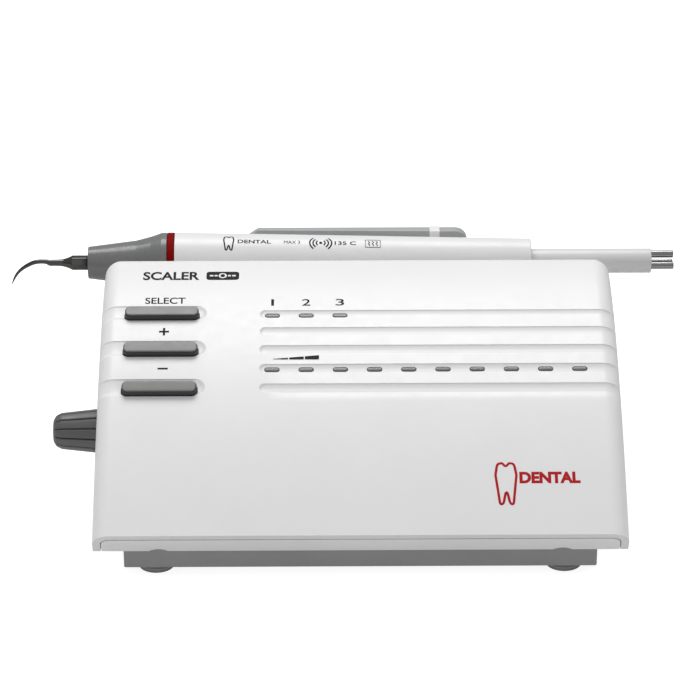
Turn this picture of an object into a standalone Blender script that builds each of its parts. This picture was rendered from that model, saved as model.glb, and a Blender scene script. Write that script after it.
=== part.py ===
"""Ultrasonic dental scaler: a wedge-shaped console with its handpiece lying in a rear trough.

Drawn in millimetres with the front edge of the sloping panel at Y = 0, the table at Z = 0 and
the console centred on X = 0, then written in metres about the bottom centre of the whole object.
"""
import math

import bmesh
import bpy
from mathutils import Matrix, Vector

MM = 0.001
GAP = 0.3                      # clearance between neighbouring pieces

# ---- console ----------------------------------------------------------------------------
HALF_WIDTH = 84.0
WALL = 2.5
SIDE_ROUND = 5.5               # rounding of the long side edges
FRONT_EDGE_Z = 19.2
PANEL_LENGTH = 116.0           # arc length of the sloping panel, ridge to front edge
SLOPE_RIDGE = math.radians(3.0)
SLOPE_LIMIT = math.radians(38.5)
SLOPE_DECAY = 58.0
RIDGE_ROUND = 6.0
TROUGH_Z = 42.5
TROUGH_FILLET = 3.0
TROUGH_DEPTH = 31.0            # from the wall under the ridge to the rear wall
CASE_BOTTOM = 10.7
LIP_LENGTH = 10.2              # front face, measured down from the panel edge
FLOOR = 2.5
BASE_Z = 3.1
BASE_HALF = 74.6
BASE_FRONT = 8.2
FOOT_X, FOOT_R = 64.6, 6.0
FOOT_INSET = 8.0
NOTCH_X, NOTCH_Z, NOTCH_R = 63.4, 6.95, 4.8    # low arches in the lip above the front feet
SCREW_PLACES = ((-40.0, 60.0), (40.0, 60.0))

# ---- panel features, as arc length from the ridge -----------------------------------------
GROOVE_S, GROOVE_PITCH, GROOVE_WIDE, GROOVE_DEEP = 27.3, 8.04, 4.4, 0.6
GROOVE_X = -32.0
BUTTON_S, BUTTON_PITCH = 29.4, 16.2
BUTTON_X, BUTTON_LONG, BUTTON_WIDE, BUTTON_PROUD = -64.0, 24.0, 4.7, 2.2
BUTTON_CORNER = 1.7
SCOOP_LEAD, SCOOP_WIDE, SCOOP_DEEP = 4.3, 6.6, 0.7     # hollow that starts above each button
BUTTON_TRAVEL = 1.0
LED_X, LED_PITCH, LED_LONG, LED_WIDE = -28.0, 11.0, 4.7, 1.6
LED_INSET = 2.0                # window centre below the groove's upper edge
BOARD_DROP = 10.25             # control board below the panel

# ---- water control ------------------------------------------------------------------------
KNOB_Y, KNOB_Z, KNOB_R, KNOB_LONG = 50.0, 30.3, 7.1, 14.2
VALVE_X, VALVE_Y = -52.0, 93.0        # axis of the solenoid valve

# ---- handpiece, lying along X -------------------------------------------------------------
HAND_Y, HAND_Z = 125.0, 55.7
TIP_X, HEX_X, NOSE_X, RING_X = -117.2, -96.6, -90.9, -64.0
BODY_X, TAIL_X, TAIL_END, PIN_END = -61.5, 58.9, 99.7, 107.3
RING_R, TAIL_R, BODY_END_R, HEX_R = 10.1, 4.15, 7.65, 2.6
PIN_R, PIN_SPREAD = 1.25, 2.3
HOLDER_X0, HOLDER_X1, HOLDER_WALL, HOLDER_TOP = -36.7, 37.7, 2.4, 63.1
CLIP_X0, CLIP_X1, CLIP_THICK, CLIP_LOW = 24.9, 28.3, 0.9, 58.6

# ---- rear sockets ---------------------------------------------------------------------------
REAR_HALF, REAR_Z0, REAR_Z1 = 62.0, 16.0, 38.0
GLAND_X, INLET_X, FOOTSWITCH_X, POWER_X, ROCKER_X = 50.0, 28.0, 6.0, -18.0, -46.0
SOCKET_Z = 27.0

MATERIALS = {
    "cover_white": ((0.86, 0.87, 0.88), 0.32, 0.0), "shell_grey": ((0.55, 0.56, 0.57), 0.45, 0.0),
    "base_grey": ((0.17, 0.17, 0.18), 0.55, 0.0), "rubber_black": ((0.04, 0.04, 0.04), 0.85, 0.0),
    "button_grey": ((0.30, 0.31, 0.32), 0.45, 0.0), "lens_grey": ((0.45, 0.45, 0.45), 0.25, 0.0),
    "knob_grey": ((0.09, 0.09, 0.10), 0.5, 0.0), "nose_grey": ((0.27, 0.28, 0.29), 0.5, 0.0),
    "holder_grey": ((0.33, 0.34, 0.35), 0.5, 0.0), "accent_red": ((0.55, 0.01, 0.02), 0.4, 0.0),
    "steel": ((0.62, 0.63, 0.65), 0.25, 1.0), "brass": ((0.70, 0.52, 0.22), 0.3, 1.0),
    "aluminium": ((0.70, 0.71, 0.73), 0.4, 1.0), "copper": ((0.72, 0.35, 0.18), 0.4, 1.0),
    "board_green": ((0.03, 0.22, 0.10), 0.5, 0.0), "ceramic": ((0.80, 0.78, 0.70), 0.4, 0.0),
    "tube_clear": ((0.75, 0.80, 0.85), 0.3, 0.0), "black_plastic": ((0.03, 0.03, 0.03), 0.5, 0.0),
}


# ---- small tools ----------------------------------------------------------------------------
def clear_scene():
    for ob in list(bpy.data.objects):
        bpy.data.objects.remove(ob, do_unlink=True)


def material(name):
    mat = bpy.data.materials.get(name) or bpy.data.materials.new(name)
    mat.use_nodes = True
    colour, roughness, metallic = MATERIALS[name]
    shader = mat.node_tree.nodes["Principled BSDF"]
    shader.inputs["Base Color"].default_value = (*colour, 1.0)
    shader.inputs["Roughness"].default_value = roughness
    shader.inputs["Metallic"].default_value = metallic
    mat.diffuse_color = (*colour, 1.0)
    return mat


def mesh_object(name, verts, faces):
    """A closed mesh in drawing millimetres, its faces turned outward."""
    mesh = bpy.data.meshes.new(name)
    bm = bmesh.new()
    made = [bm.verts.new(v) for v in verts]
    for face in faces:
        bm.faces.new([made[i] for i in face])
    bmesh.ops.recalc_face_normals(bm, faces=bm.faces)
    bm.to_mesh(mesh)
    bm.free()
    ob = bpy.data.objects.new(name, mesh)
    bpy.context.collection.objects.link(ob)
    return ob


def loft(name, rings):
    """Closed solid through rings of equally many points."""
    n = len(rings[0])
    verts = [p for ring in rings for p in ring]
    faces = [list(range(n))[::-1], [(len(rings) - 1) * n + i for i in range(n)]]
    for k in range(len(rings) - 1):
        for i in range(n):
            j = (i + 1) % n
            faces.append([k * n + i, k * n + j, (k + 1) * n + j, (k + 1) * n + i])
    return mesh_object(name, verts, faces)


def box(name, x, y, z):
    """Box from three (low, high) pairs."""
    return loft(name, [[(xx, y[0], z[0]), (xx, y[1], z[0]), (xx, y[1], z[1]), (xx, y[0], z[1])]
                       for xx in x])


def revolve(name, profile, origin, axis="X", steps=24, flutes=None):
    """Solid turned about an axis through origin; profile is (along, radius), closed at both ends.

    A profile that starts and ends on one point is a tube. flutes(along, angle) scales the radius.
    """
    tube = profile[0] == profile[-1]
    points = profile[:-1] if tube else profile
    rings = []
    for along, radius in points:
        ring = []
        for i in range(steps):
            a = 2 * math.pi * i / steps
            r = radius * (flutes(along, a) if flutes else 1.0)
            u, v = r * math.cos(a), r * math.sin(a)
            local = {"X": (along, u, v), "Y": (u, along, v), "Z": (u, v, along)}[axis]
            ring.append(Vector(origin) + Vector(local))
        rings.append(ring)
    if not tube:
        return loft(name, rings)
    n, m = steps, len(rings)
    faces = [[k * n + i, k * n + (i + 1) % n, ((k + 1) % m) * n + (i + 1) % n, ((k + 1) % m) * n + i]
             for k in range(m) for i in range(n)]
    return mesh_object(name, [p for ring in rings for p in ring], faces)


def rod(name, start, end, radius, steps=16):
    """Plain cylinder between two points."""
    start, end = Vector(start), Vector(end)
    turn = (end - start).to_track_quat("Z", "Y").to_matrix()
    ring = [turn @ Vector((radius * math.cos(2 * math.pi * i / steps),
                           radius * math.sin(2 * math.pi * i / steps), 0)) for i in range(steps)]
    return loft(name, [[start + p for p in ring], [end + p for p in ring]])


def ring_profile(x0, x1, inner, outer):
    return [(x0, inner), (x0, outer), (x1, outer), (x1, inner), (x0, inner)]


def hose(name, points, radius, steps=10):
    """Round tube filled solid along a path of points."""
    path = [Vector(p) for p in points]
    rings = []
    for i, p in enumerate(path):
        way = (path[min(i + 1, len(path) - 1)] - path[max(i - 1, 0)]).normalized()
        side = way.cross(Vector((0, 0, 1)))
        side = side.normalized() if side.length > 1e-3 else Vector((1, 0, 0))
        up = side.cross(way).normalized()
        rings.append([p + radius * (side * math.cos(2 * math.pi * k / steps)
                                    + up * math.sin(2 * math.pi * k / steps)) for k in range(steps)])
    return loft(name, rings)


def combine(ob, others, operation):
    """Exact Boolean of ob with each of the others, which are used up."""
    for other in others:
        mod = ob.modifiers.new(operation.lower(), "BOOLEAN")
        mod.operation, mod.solver, mod.object = operation, "EXACT", other
        bpy.context.view_layer.update()
        graph = bpy.context.evaluated_depsgraph_get()
        result = bpy.data.meshes.new_from_object(ob.evaluated_get(graph))
        ob.modifiers.clear()
        ob.data = result
        bpy.data.objects.remove(other, do_unlink=True)
    return ob


def cut(ob, *cutters):
    return combine(ob, cutters, "DIFFERENCE")


def join(ob, *pieces):
    return combine(ob, pieces, "UNION")


def stadium(long, wide, steps=8):
    """Outline of a slot with round ends, in its own plane."""
    r, half = wide / 2, (long - wide) / 2
    points = []
    for side, start in ((1, -math.pi / 2), (-1, math.pi / 2)):
        for i in range(steps + 1):
            a = start + math.pi * i / steps
            points.append((side * half + r * math.cos(a), r * math.sin(a)))
    return points


def rounded_slot(long, wide, corner, steps=4):
    """Outline of a rectangle with rounded corners, in its own plane."""
    points = []
    for x, y, start in ((1, -1, -90), (1, 1, 0), (-1, 1, 90), (-1, -1, 180)):
        for i in range(steps + 1):
            a = math.radians(start + 90 * i / steps)
            points.append((x * (long / 2 - corner) + corner * math.cos(a),
                           y * (wide / 2 - corner) + corner * math.sin(a)))
    return points


# ---- the curved panel -------------------------------------------------------------------------
def slope(s):
    return SLOPE_RIDGE + (SLOPE_LIMIT - SLOPE_RIDGE) * (1 - math.exp(-s / SLOPE_DECAY))


def panel_curve(steps=464):
    """(y, z) along the panel from the ridge to the front edge, at equal arc steps."""
    ds = PANEL_LENGTH / steps
    back = [(0.0, 0.0)]
    for i in range(steps):
        a = slope((i + 0.5) * ds)
        back.append((back[-1][0] - ds * math.cos(a), back[-1][1] - ds * math.sin(a)))
    end = back[-1]
    return [(y - end[0], z - end[1] + FRONT_EDGE_Z) for y, z in back]


CURVE = panel_curve()


def panel_point(s, along=0.0, height=0.0):
    """Point near the panel: along runs toward the front, height stands off the surface."""
    k = min(max(s / PANEL_LENGTH * (len(CURVE) - 1), 0), len(CURVE) - 1.001)
    i, f = int(k), k - int(k)
    y = CURVE[i][0] * (1 - f) + CURVE[i + 1][0] * f
    z = CURVE[i][1] * (1 - f) + CURVE[i + 1][1] * f
    a = slope(s)
    return (y - along * math.cos(a) - height * math.sin(a),
            z - along * math.sin(a) + height * math.cos(a))


RIDGE_Y, RIDGE_Z = CURVE[0]
RIDGE_CENTRE = (RIDGE_Y + RIDGE_ROUND * math.sin(SLOPE_RIDGE), RIDGE_Z - RIDGE_ROUND * math.cos(SLOPE_RIDGE))
WALL_Y = RIDGE_CENTRE[0] + RIDGE_ROUND
REAR_Y = WALL_Y + TROUGH_DEPTH
FRONT_SLOPE = slope(PANEL_LENGTH)
LIP_DOWN = (math.sin(FRONT_SLOPE), -math.cos(FRONT_SLOPE))


def case_outline(inset, front_reach=0.0, bottom=CASE_BOTTOM, arcs=6, panel_steps=24):
    """Side outline of the case moved inward by inset; front_reach carries it past the front face."""
    reach = (-front_reach * math.cos(FRONT_SLOPE), -front_reach * math.sin(FRONT_SLOPE))
    lip_y = LIP_DOWN[0] * LIP_LENGTH
    points = [(lip_y + reach[0], min(CASE_BOTTOM + reach[1], bottom)),
              (LIP_DOWN[0] * inset + reach[0], FRONT_EDGE_Z + LIP_DOWN[1] * inset + reach[1])]
    start = 1 if front_reach else 0
    for k in range(start, panel_steps + 1):
        if k or front_reach:
            points.append(panel_point(PANEL_LENGTH * (1 - k / panel_steps), height=-inset))
    tight = RIDGE_ROUND - inset
    for k in range(1, arcs + 1):
        a = (math.pi / 2 + SLOPE_RIDGE) * (1 - k / arcs)
        points.append((RIDGE_CENTRE[0] + tight * math.cos(a), RIDGE_CENTRE[1] + tight * math.sin(a)))
    for k in range(arcs + 1):
        a = math.pi + (math.pi / 2) * k / arcs
        wide = TROUGH_FILLET + inset
        points.append((WALL_Y + TROUGH_FILLET + wide * math.cos(a),
                       TROUGH_Z + TROUGH_FILLET + wide * math.sin(a)))
    for k in range(arcs + 1):
        a = math.pi / 2 * (1 - k / arcs)
        points.append((REAR_Y - RIDGE_ROUND + tight * math.cos(a),
                       TROUGH_Z - RIDGE_ROUND + tight * math.sin(a)))
    points.append((REAR_Y - inset, bottom))
    return points


def case_solid(name, offset, round_edge, front_reach=0.0, bottom=CASE_BOTTOM, arcs=5):
    """The case volume moved inward by offset, its long side edges rounded."""
    stations = []
    for k in range(arcs + 1):
        a = math.pi / 2 * k / arcs
        stations.append((HALF_WIDTH - offset - round_edge * (1 - math.sin(a)),
                         offset + round_edge * (1 - math.cos(a))))
    half = [(x, case_outline(inset, front_reach, bottom)) for x, inset in stations]
    rings = [[(-x, y, z) for y, z in outline] for x, outline in half[::-1]]
    rings += [[(x, y, z) for y, z in outline] for x, outline in half]
    return loft(name, rings)


def local_prism(name, s, outline, low, high):
    """Prism standing square to the panel at s; outline is (x, along) in the panel's plane."""
    rings = []
    for height in (low, high):
        ring = []
        for x, along in outline:
            y, z = panel_point(s, along, height)
            ring.append((x, y, z))
        rings.append(ring)
    return loft(name, rings)


def local_box(name, s, x, along, height):
    return local_prism(name, s, [(x[0], along[0]), (x[1], along[0]), (x[1], along[1]), (x[0], along[1])],
                       *height)


# ---- console pieces ---------------------------------------------------------------------------
def groove_cutter(s, x0, x1, wide, deep):
    """Long wedge: a step down at its upper edge that runs back out to the surface."""
    section = [(0.0, 1.0), (0.0, -deep), (wide * 0.35, -deep), (wide, 0.05), (wide, 1.0)]
    rings = [[(x, *panel_point(s, along, height)) for along, height in section] for x in (x0, x1)]
    return loft("groove_cut", rings)


def button_s(index):
    return BUTTON_S + BUTTON_PITCH * index


def slot_cutter(s, x, outline):
    return local_prism("slot_cut", s, [(x + u, v) for u, v in outline], -6.0, 4.0)


def led_rows():
    return (("mode_light_lens", GROOVE_S + LED_INSET, 3),
            ("power_light_lens", GROOVE_S + 3 * GROOVE_PITCH + LED_INSET, 10))


def top_cover():
    cover = case_solid("top_cover", 0.0, SIDE_ROUND)
    cut(cover, case_solid("cavity", WALL, 3.0, front_reach=5.0, bottom=CASE_BOTTOM - 3))
    for i in range(5):
        cut(cover, groove_cutter(GROOVE_S + i * GROOVE_PITCH, GROOVE_X, HALF_WIDTH + 1,
                                 GROOVE_WIDE, GROOVE_DEEP))
    for i in range(3):
        s = button_s(i)
        cut(cover, groove_cutter(s - SCOOP_LEAD, -HALF_WIDTH - 1, BUTTON_X + BUTTON_LONG / 2 + 2,
                                 SCOOP_WIDE, SCOOP_DEEP))
        cut(cover, slot_cutter(s, BUTTON_X, rounded_slot(BUTTON_LONG + 2 * GAP, BUTTON_WIDE + 2 * GAP,
                                                         BUTTON_CORNER + GAP)))
    for _, s, count in led_rows():
        for k in range(count):
            window = stadium(LED_LONG + 2 * GAP, LED_WIDE + 2 * GAP)
            cut(cover, slot_cutter(s, LED_X + k * LED_PITCH, window))
    cut(cover, rod("spindle_hole", (-HALF_WIDTH - 2, KNOB_Y, KNOB_Z), (-HALF_WIDTH + 6, KNOB_Y, KNOB_Z),
                   4.3, 24))
    cut(cover, box("rear_window", (-REAR_HALF, REAR_HALF), (REAR_Y - 6, REAR_Y + 2), (REAR_Z0, REAR_Z1)))
    return cover


def lower_shell():
    """Tray with the light front lip that fills the mouth of the cover."""
    tray = case_solid("lower_shell", WALL + GAP, 2.4)
    inner_front = LIP_DOWN[0] * LIP_LENGTH + WALL
    cut(tray, box("above", (-90, 90), (inner_front + 2.5, REAR_Y + 5), (15.2, 90)))
    slanted = [(inner_front + 0.2, CASE_BOTTOM + FLOOR), (inner_front - 4.6, FRONT_EDGE_Z + 2.0),
               (inner_front - 2.6, 30), (REAR_Y - 6, 30), (REAR_Y - 6, CASE_BOTTOM + FLOOR)]
    half = HALF_WIDTH - 2 * WALL - 1
    cut(tray, loft("hollow", [[(x, y, z) for y, z in slanted] for x in (-half, half)]))
    for x in (-NOTCH_X, NOTCH_X):
        cut(tray, rod("lip_notch", (x, -2, NOTCH_Z), (x, BASE_FRONT + 2, NOTCH_Z), NOTCH_R, 48))
    for x, y in SCREW_PLACES:
        cut(tray, rod("screw_hole", (x, y, CASE_BOTTOM - 2), (x, y, CASE_BOTTOM + 5), 1.7))
    return tray


def base_plate():
    """Shallow dark pan under the case."""
    top = CASE_BOTTOM - GAP
    rear = REAR_Y - 8
    pan = box("base_plate", (-BASE_HALF, BASE_HALF), (BASE_FRONT, rear), (BASE_Z, top))
    cut(pan, box("pan_hollow", (-BASE_HALF + 2.5, BASE_HALF - 2.5), (BASE_FRONT + 2.5, rear - 2.5),
                 (BASE_Z + 2.5, top + 1)))
    for x, y in foot_places():
        cut(pan, rod("foot_hole", (x, y, BASE_Z - 1), (x, y, BASE_Z + 4), 2.3))
    for x, y in SCREW_PLACES:
        cut(pan, rod("screw_hole", (x, y, BASE_Z - 1), (x, y, BASE_Z + 4), 1.7))
    return pan


def foot_places():
    front, rear = BASE_FRONT + FOOT_INSET, REAR_Y - 8 - FOOT_INSET
    return [(-FOOT_X, front), (FOOT_X, front), (-FOOT_X, rear), (FOOT_X, rear)]


def feet():
    top = BASE_Z - 0.15
    profile = [(0.0, FOOT_R - 2.2), (0.0, FOOT_R - 0.5), (0.3, FOOT_R - 0.25), (1.2, FOOT_R - 0.25),
               (1.3, FOOT_R), (top, FOOT_R), (top, 2.0), (BASE_Z + 2.6, 2.0), (BASE_Z + 2.8, 2.9),
               (BASE_Z + 4.6, 1.6)]
    names = ("front_left_foot", "front_right_foot", "rear_left_foot", "rear_right_foot")
    return [revolve(name, profile, (x, y, 0), "Z", 24) for name, (x, y) in zip(names, foot_places())]


def case_screws():
    """Screws that hold the base plate to the tray, heads under the plate."""
    screws = []
    for name, (x, y) in zip(("left_case_screw", "right_case_screw"), SCREW_PLACES):
        profile = [(BASE_Z - 1.6, 2.6), (BASE_Z - 1.2, 3.0), (BASE_Z - 0.2, 3.0), (BASE_Z - 0.2, 1.4),
                   (CASE_BOTTOM + 2.0, 1.4)]
        screws.append(revolve(name, profile, (x, y, 0), "Z", 20))
    return screws


def rear_panel():
    panel = box("rear_panel", (-REAR_HALF + GAP, REAR_HALF - GAP), (REAR_Y - 2.4, REAR_Y - 0.2),
                (REAR_Z0 + GAP, REAR_Z1 - GAP))
    for x, radius in ((GLAND_X, 5.3), (INLET_X, 4.3), (FOOTSWITCH_X, 5.8), (POWER_X, 6.8)):
        cut(panel, rod("hole", (x, REAR_Y - 5, SOCKET_Z), (x, REAR_Y + 3, SOCKET_Z), radius, 32))
    cut(panel, box("rocker_hole", (ROCKER_X - 6.8, ROCKER_X + 6.8), (REAR_Y - 5, REAR_Y + 3),
                   (SOCKET_Z - 9.3, SOCKET_Z + 9.3)))
    return panel


def body_radius(x):
    """Outer radius of the handpiece barrel at x."""
    f = (x - BODY_X) / (TAIL_X - BODY_X)
    return RING_R + (BODY_END_R - RING_R) * f


def holder_outside():
    """Y of the cradle's straight back."""
    return HAND_Y + body_radius(HOLDER_X0) + GAP + HOLDER_WALL


def clip_front():
    """Y of the clip's front leaf, which stays behind the barrel as that lifts out."""
    return HAND_Y + body_radius(CLIP_X0) + GAP


def holder():
    """Long cradle whose bore follows the barrel's taper, high at the back and low in front."""
    rings = []
    steps = 14
    base = TROUGH_Z + GAP
    for x in (HOLDER_X0, HOLDER_X1):
        inner = body_radius(x) + GAP
        outer = holder_outside() - HAND_Y
        ring = [(x, HAND_Y + outer, HOLDER_TOP), (x, HAND_Y + outer, base + 1.5),
                (x, HAND_Y + outer - 1.5, base), (x, HAND_Y - outer * 0.72, base),
                (x, HAND_Y - outer * 0.95, HAND_Z - outer * 0.45)]
        for k in range(steps + 1):
            a = math.radians(200 + 160 * k / steps)
            ring.append((x, HAND_Y + inner * math.cos(a), HAND_Z + inner * math.sin(a)))
        ring.append((x, HAND_Y + inner, HOLDER_TOP))
        rings.append(ring)
    cradle = loft("handpiece_holder", rings)
    across = (CLIP_X0 - GAP, CLIP_X1 + GAP)
    front = box("clip_recess", across, (clip_front() - 2, clip_front() + CLIP_THICK + GAP),
                (CLIP_LOW - GAP, HOLDER_TOP + 1))
    top = box("clip_notch", across, (clip_front(), holder_outside() + 1),
              (HOLDER_TOP - CLIP_THICK - GAP, HOLDER_TOP + 1))
    return cut(cradle, front, top)


def holder_clip():
    """Narrow strap hooked over the holder's back wall, its front leaf let into the wall."""
    front, back = clip_front(), holder_outside() + GAP
    inside, top, low = front + CLIP_THICK, HOLDER_TOP - CLIP_THICK, HAND_Z - 4
    section = [(front, CLIP_LOW), (front, top + CLIP_THICK), (back + CLIP_THICK, top + CLIP_THICK),
               (back + CLIP_THICK, low), (back, low), (back, top), (inside, top), (inside, CLIP_LOW)]
    return loft("holder_clip", [[(x, y, z) for y, z in section] for x in (CLIP_X0, CLIP_X1)])


# ---- buttons, lenses and boards -----------------------------------------------------------------
def button(name, index):
    s = button_s(index)
    rings = []
    for trim, height in ((0.0, -3.6), (0.0, BUTTON_PROUD - 0.4), (0.35, BUTTON_PROUD)):
        shape = rounded_slot(BUTTON_LONG - 2 * trim, BUTTON_WIDE - 2 * trim, BUTTON_CORNER - trim)
        rings.append([(BUTTON_X + u, *panel_point(s, v, height)) for u, v in shape])
    wide = [(BUTTON_X + u, v) for u, v in stadium(BUTTON_LONG + 2, BUTTON_WIDE + 2)]
    cap = loft(name, rings)
    join(cap, local_prism("flange", s, wide, -4.0, -3.1))
    join(cap, local_box("stem", s, (BUTTON_X - 1.2, BUTTON_X + 1.2), (-1.2, 1.2), (-6.2, -3.5)))
    return cap


def tact_switch(name, index):
    s = button_s(index)
    body = local_box(name, s, (BUTTON_X - 3, BUTTON_X + 3), (-3, 3), (-9.1, -7.9))
    join(body, local_box("dome", s, (BUTTON_X - 1.5, BUTTON_X + 1.5), (-1.5, 1.5), (-8.2, -7.5)))
    return body


def light_lens(name, s, count):
    """Row of windows on one carrier strip under the cover."""
    last = LED_X + (count - 1) * LED_PITCH
    strip = local_box(name, s, (LED_X - 5, last + 5), (-2.2, 2.2), (-4.4, -3.0))
    for k in range(count):
        outline = [(LED_X + k * LED_PITCH + u, v) for u, v in stadium(LED_LONG, LED_WIDE, 6)]
        join(strip, local_prism("window", s, outline, -3.6, -0.45))
    return strip


def control_board():
    s = button_s(1)
    return local_box("control_board", s, (-79, 76), (-23, 22), (-BOARD_DROP - 1.6, -BOARD_DROP))


def main_board():
    return box("main_board", (-36, 74), (28, 104), (16.6, 18.2))


def transformer():
    core = box("transformer_core", (34, 66), (58, 92), (18.6, 38))
    for y in ((62, 68), (82, 88)):
        cut(core, box("window", (30, 70), y, (23, 34)))
    coil = box("transformer_coil", (29, 71), (62.4, 87.6), (23.4, 33.6))
    cut(coil, box("leg", (33.5, 66.5), (67.6, 82.4), (20, 36)))
    return [core, coil]


def heat_sink():
    sink = box("heat_sink", (-6, 22), (66, 100), (18.6, 22))
    for k in range(5):
        x = -6 + k * 6.4
        join(sink, box("fin", (x, x + 2.4), (66, 100), (21.5, 36)))
    return sink


def electrics():
    capacitor = revolve("filter_capacitor", [(18.6, 7.4), (19.2, 8.0), (29.4, 8.0), (30.0, 7.4)],
                        (50, 40, 0), "Z", 28)
    chip = box("driver_module", (-28, -12), (60, 84), (18.5, 21.0))
    return [capacitor, chip]


# ---- water circuit --------------------------------------------------------------------------------
def water_parts():
    x0 = -HALF_WIDTH
    at = (0, KNOB_Y, KNOB_Z)

    def fluted(along, angle):
        if along > x0 - 1.2 or along < x0 - KNOB_LONG + 0.8:
            return 1.0
        return 1.0 - 0.09 * max(0.0, math.cos(12 * angle)) ** 2

    out = x0 - GAP
    end = out - KNOB_LONG
    profile = [(out, KNOB_R), (out - 0.9, KNOB_R + 0.15), (out - 2.0, KNOB_R + 0.1),
               (out - 6, KNOB_R - 0.25), (end + 3.0, KNOB_R - 0.9), (end + 1.2, KNOB_R - 1.5),
               (end, KNOB_R - 3.0)]
    knob = revolve("water_knob", profile, at, "X", 48, fluted)
    cut(knob, rod("socket", (out + 1, KNOB_Y, KNOB_Z), (out - 8.3, KNOB_Y, KNOB_Z), 3.3, 24))
    spindle = revolve("valve_spindle", [(out - 8, 3.0), (x0 + 10, 3.0), (x0 + 10, 1.6), (x0 + 19, 1.6),
                                        (x0 + 21, 0.4)], at, "X", 20)
    inside = x0 + WALL + GAP
    valve = revolve("water_valve_body", [
        (inside, 4.4), (inside, 3.3), (x0 + 10.4, 3.3), (x0 + 10.4, 1.9), (x0 + 21.5, 1.9), (x0 + 21.5, 4.2),
        (x0 + 14, 4.2), (x0 + 14, 4.9), (x0 + 7, 4.9), (x0 + 7, 4.4), (inside, 4.4)], at, "X", 24)
    nut = revolve("valve_nut", ring_profile(x0 - 0.1, x0 + 2.4, 3.3, 4.0), at, "X", 24)
    return [knob, spindle, valve, nut]


def solenoid():
    x, y = VALVE_X, VALVE_Y
    body = box("solenoid_valve_body", (x - 10, x + 10), (y - 9, y + 9), (17.2, 25))
    cut(body, rod("bore", (x, y, 19), (x, y, 30), 4.0, 24))
    coil = revolve("solenoid_coil", ring_profile(25.4, 38.4, 4.3, 8.4), (x, y, 0), "Z", 28)
    plunger = revolve("solenoid_plunger", [(21.0, 3.0), (22.0, 3.6), (37.0, 3.6), (37.4, 3.2)],
                      (x, y, 0), "Z", 20)
    return [body, coil, plunger]


def tubes():
    z = SOCKET_Z
    supply = [(INLET_X, REAR_Y - 10.8, z), (INLET_X, REAR_Y - 14, z), (INLET_X - 4, REAR_Y - 18, 25),
              (0, REAR_Y - 20, 23), (-30, REAR_Y - 26, 22), (-36, 98, 21), (-37.5, 93.6, 21),
              (VALVE_X + 10.3, VALVE_Y, 21)]
    control = [(VALVE_X - 10.4, VALVE_Y, 21), (-67, 92, 21), (-72, 84, 22), (-69, 70, 24),
               (-58, 61, 27), (-53, 54, KNOB_Z), (-56, KNOB_Y + 0.6, KNOB_Z), (-62.1, KNOB_Y, KNOB_Z)]
    return [hose("supply_tube", supply, 1.8), hose("control_tube", control, 1.7)]


# ---- rear fittings -----------------------------------------------------------------------------------
SOCKETS = {"footswitch_socket": (FOOTSWITCH_X, 7.2, 3.5), "power_socket": (POWER_X, 8.2, 4.2)}
SOCKET_DEPTH, SOCKET_FACE = 10.0, 2.0       # cavity depth, and face behind the rear wall


def socket(name):
    """Round panel socket with a blind cavity open to the rear."""
    x, outer, inner = SOCKETS[name]
    face, back = REAR_Y + SOCKET_FACE, REAR_Y - SOCKET_DEPTH - 3
    body = outer - 1.6
    profile = [(back, body), (REAR_Y + 0.1, body), (REAR_Y + 0.1, outer), (face - 0.5, outer),
               (face, outer - 0.5)]
    made = revolve(name, profile, (x, 0, SOCKET_Z), "Y", 24)
    cut(made, rod("cavity", (x, face - SOCKET_DEPTH, SOCKET_Z), (x, face + 3, SOCKET_Z), inner, 24))
    return made


def rear_fittings():
    gland = revolve("hose_gland", [(REAR_Y - 6, 5.0), (REAR_Y + 0.1, 5.0), (REAR_Y + 0.1, 7.0),
                                   (REAR_Y + 3.0, 7.0), (REAR_Y + 6.5, 5.4), (REAR_Y + 6.5, 3.7),
                                   (REAR_Y - 6, 3.7), (REAR_Y - 6, 5.0)], (GLAND_X, 0, SOCKET_Z), "Y", 24)
    spigot = [(-10.5, 1.3), (-10.5, 2.6), (-6, 2.6), (-6, 4.0), (0.1, 4.0), (0.1, 5.6), (2.2, 5.6),
              (2.2, 2.4), (5, 2.4), (5.2, 3.0), (7.0, 2.4), (7.2, 3.0), (9.4, 2.1), (9.4, 1.3), (-10.5, 1.3)]
    inlet = revolve("water_inlet", [(REAR_Y + out, r) for out, r in spigot], (INLET_X, 0, SOCKET_Z), "Y", 16)
    foot, power = [socket(name) for name in SOCKETS]
    frame = box("power_switch_frame", (ROCKER_X - 6.5, ROCKER_X + 6.5), (REAR_Y - 12, REAR_Y + 0.9),
                (SOCKET_Z - 9, SOCKET_Z + 9))
    join(frame, box("bezel", (ROCKER_X - 8, ROCKER_X + 8), (REAR_Y + 0.1, REAR_Y + 1.4),
                    (SOCKET_Z - 10.5, SOCKET_Z + 10.5)))
    cut(frame, box("well", (ROCKER_X - 5.4, ROCKER_X + 5.4), (REAR_Y - 8, REAR_Y + 3),
                   (SOCKET_Z - 7.9, SOCKET_Z + 7.9)))
    return [gland, inlet, foot, power, frame]


ROCKER_SWING = math.radians(16)
ROCKER_PIVOT = (ROCKER_X, REAR_Y - 2.0, SOCKET_Z)


def power_rocker():
    """Rocker shown with its lower half pressed, swinging about X."""
    section = [(-3.4, -3.0), (-3.4, 3.0), (1.2, 7.2), (2.9, 7.2), (2.4, 0.0), (2.9, -7.2), (1.2, -7.2)]
    half = ROCKER_SWING / 2
    turned = [(y * math.cos(half) + z * math.sin(half), z * math.cos(half) - y * math.sin(half))
              for y, z in section]
    _, py, pz = ROCKER_PIVOT
    rings = [[(x, py + y, pz + z) for y, z in turned] for x in (ROCKER_X - 5.1, ROCKER_X + 5.1)]
    return loft("power_rocker", rings)


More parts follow.
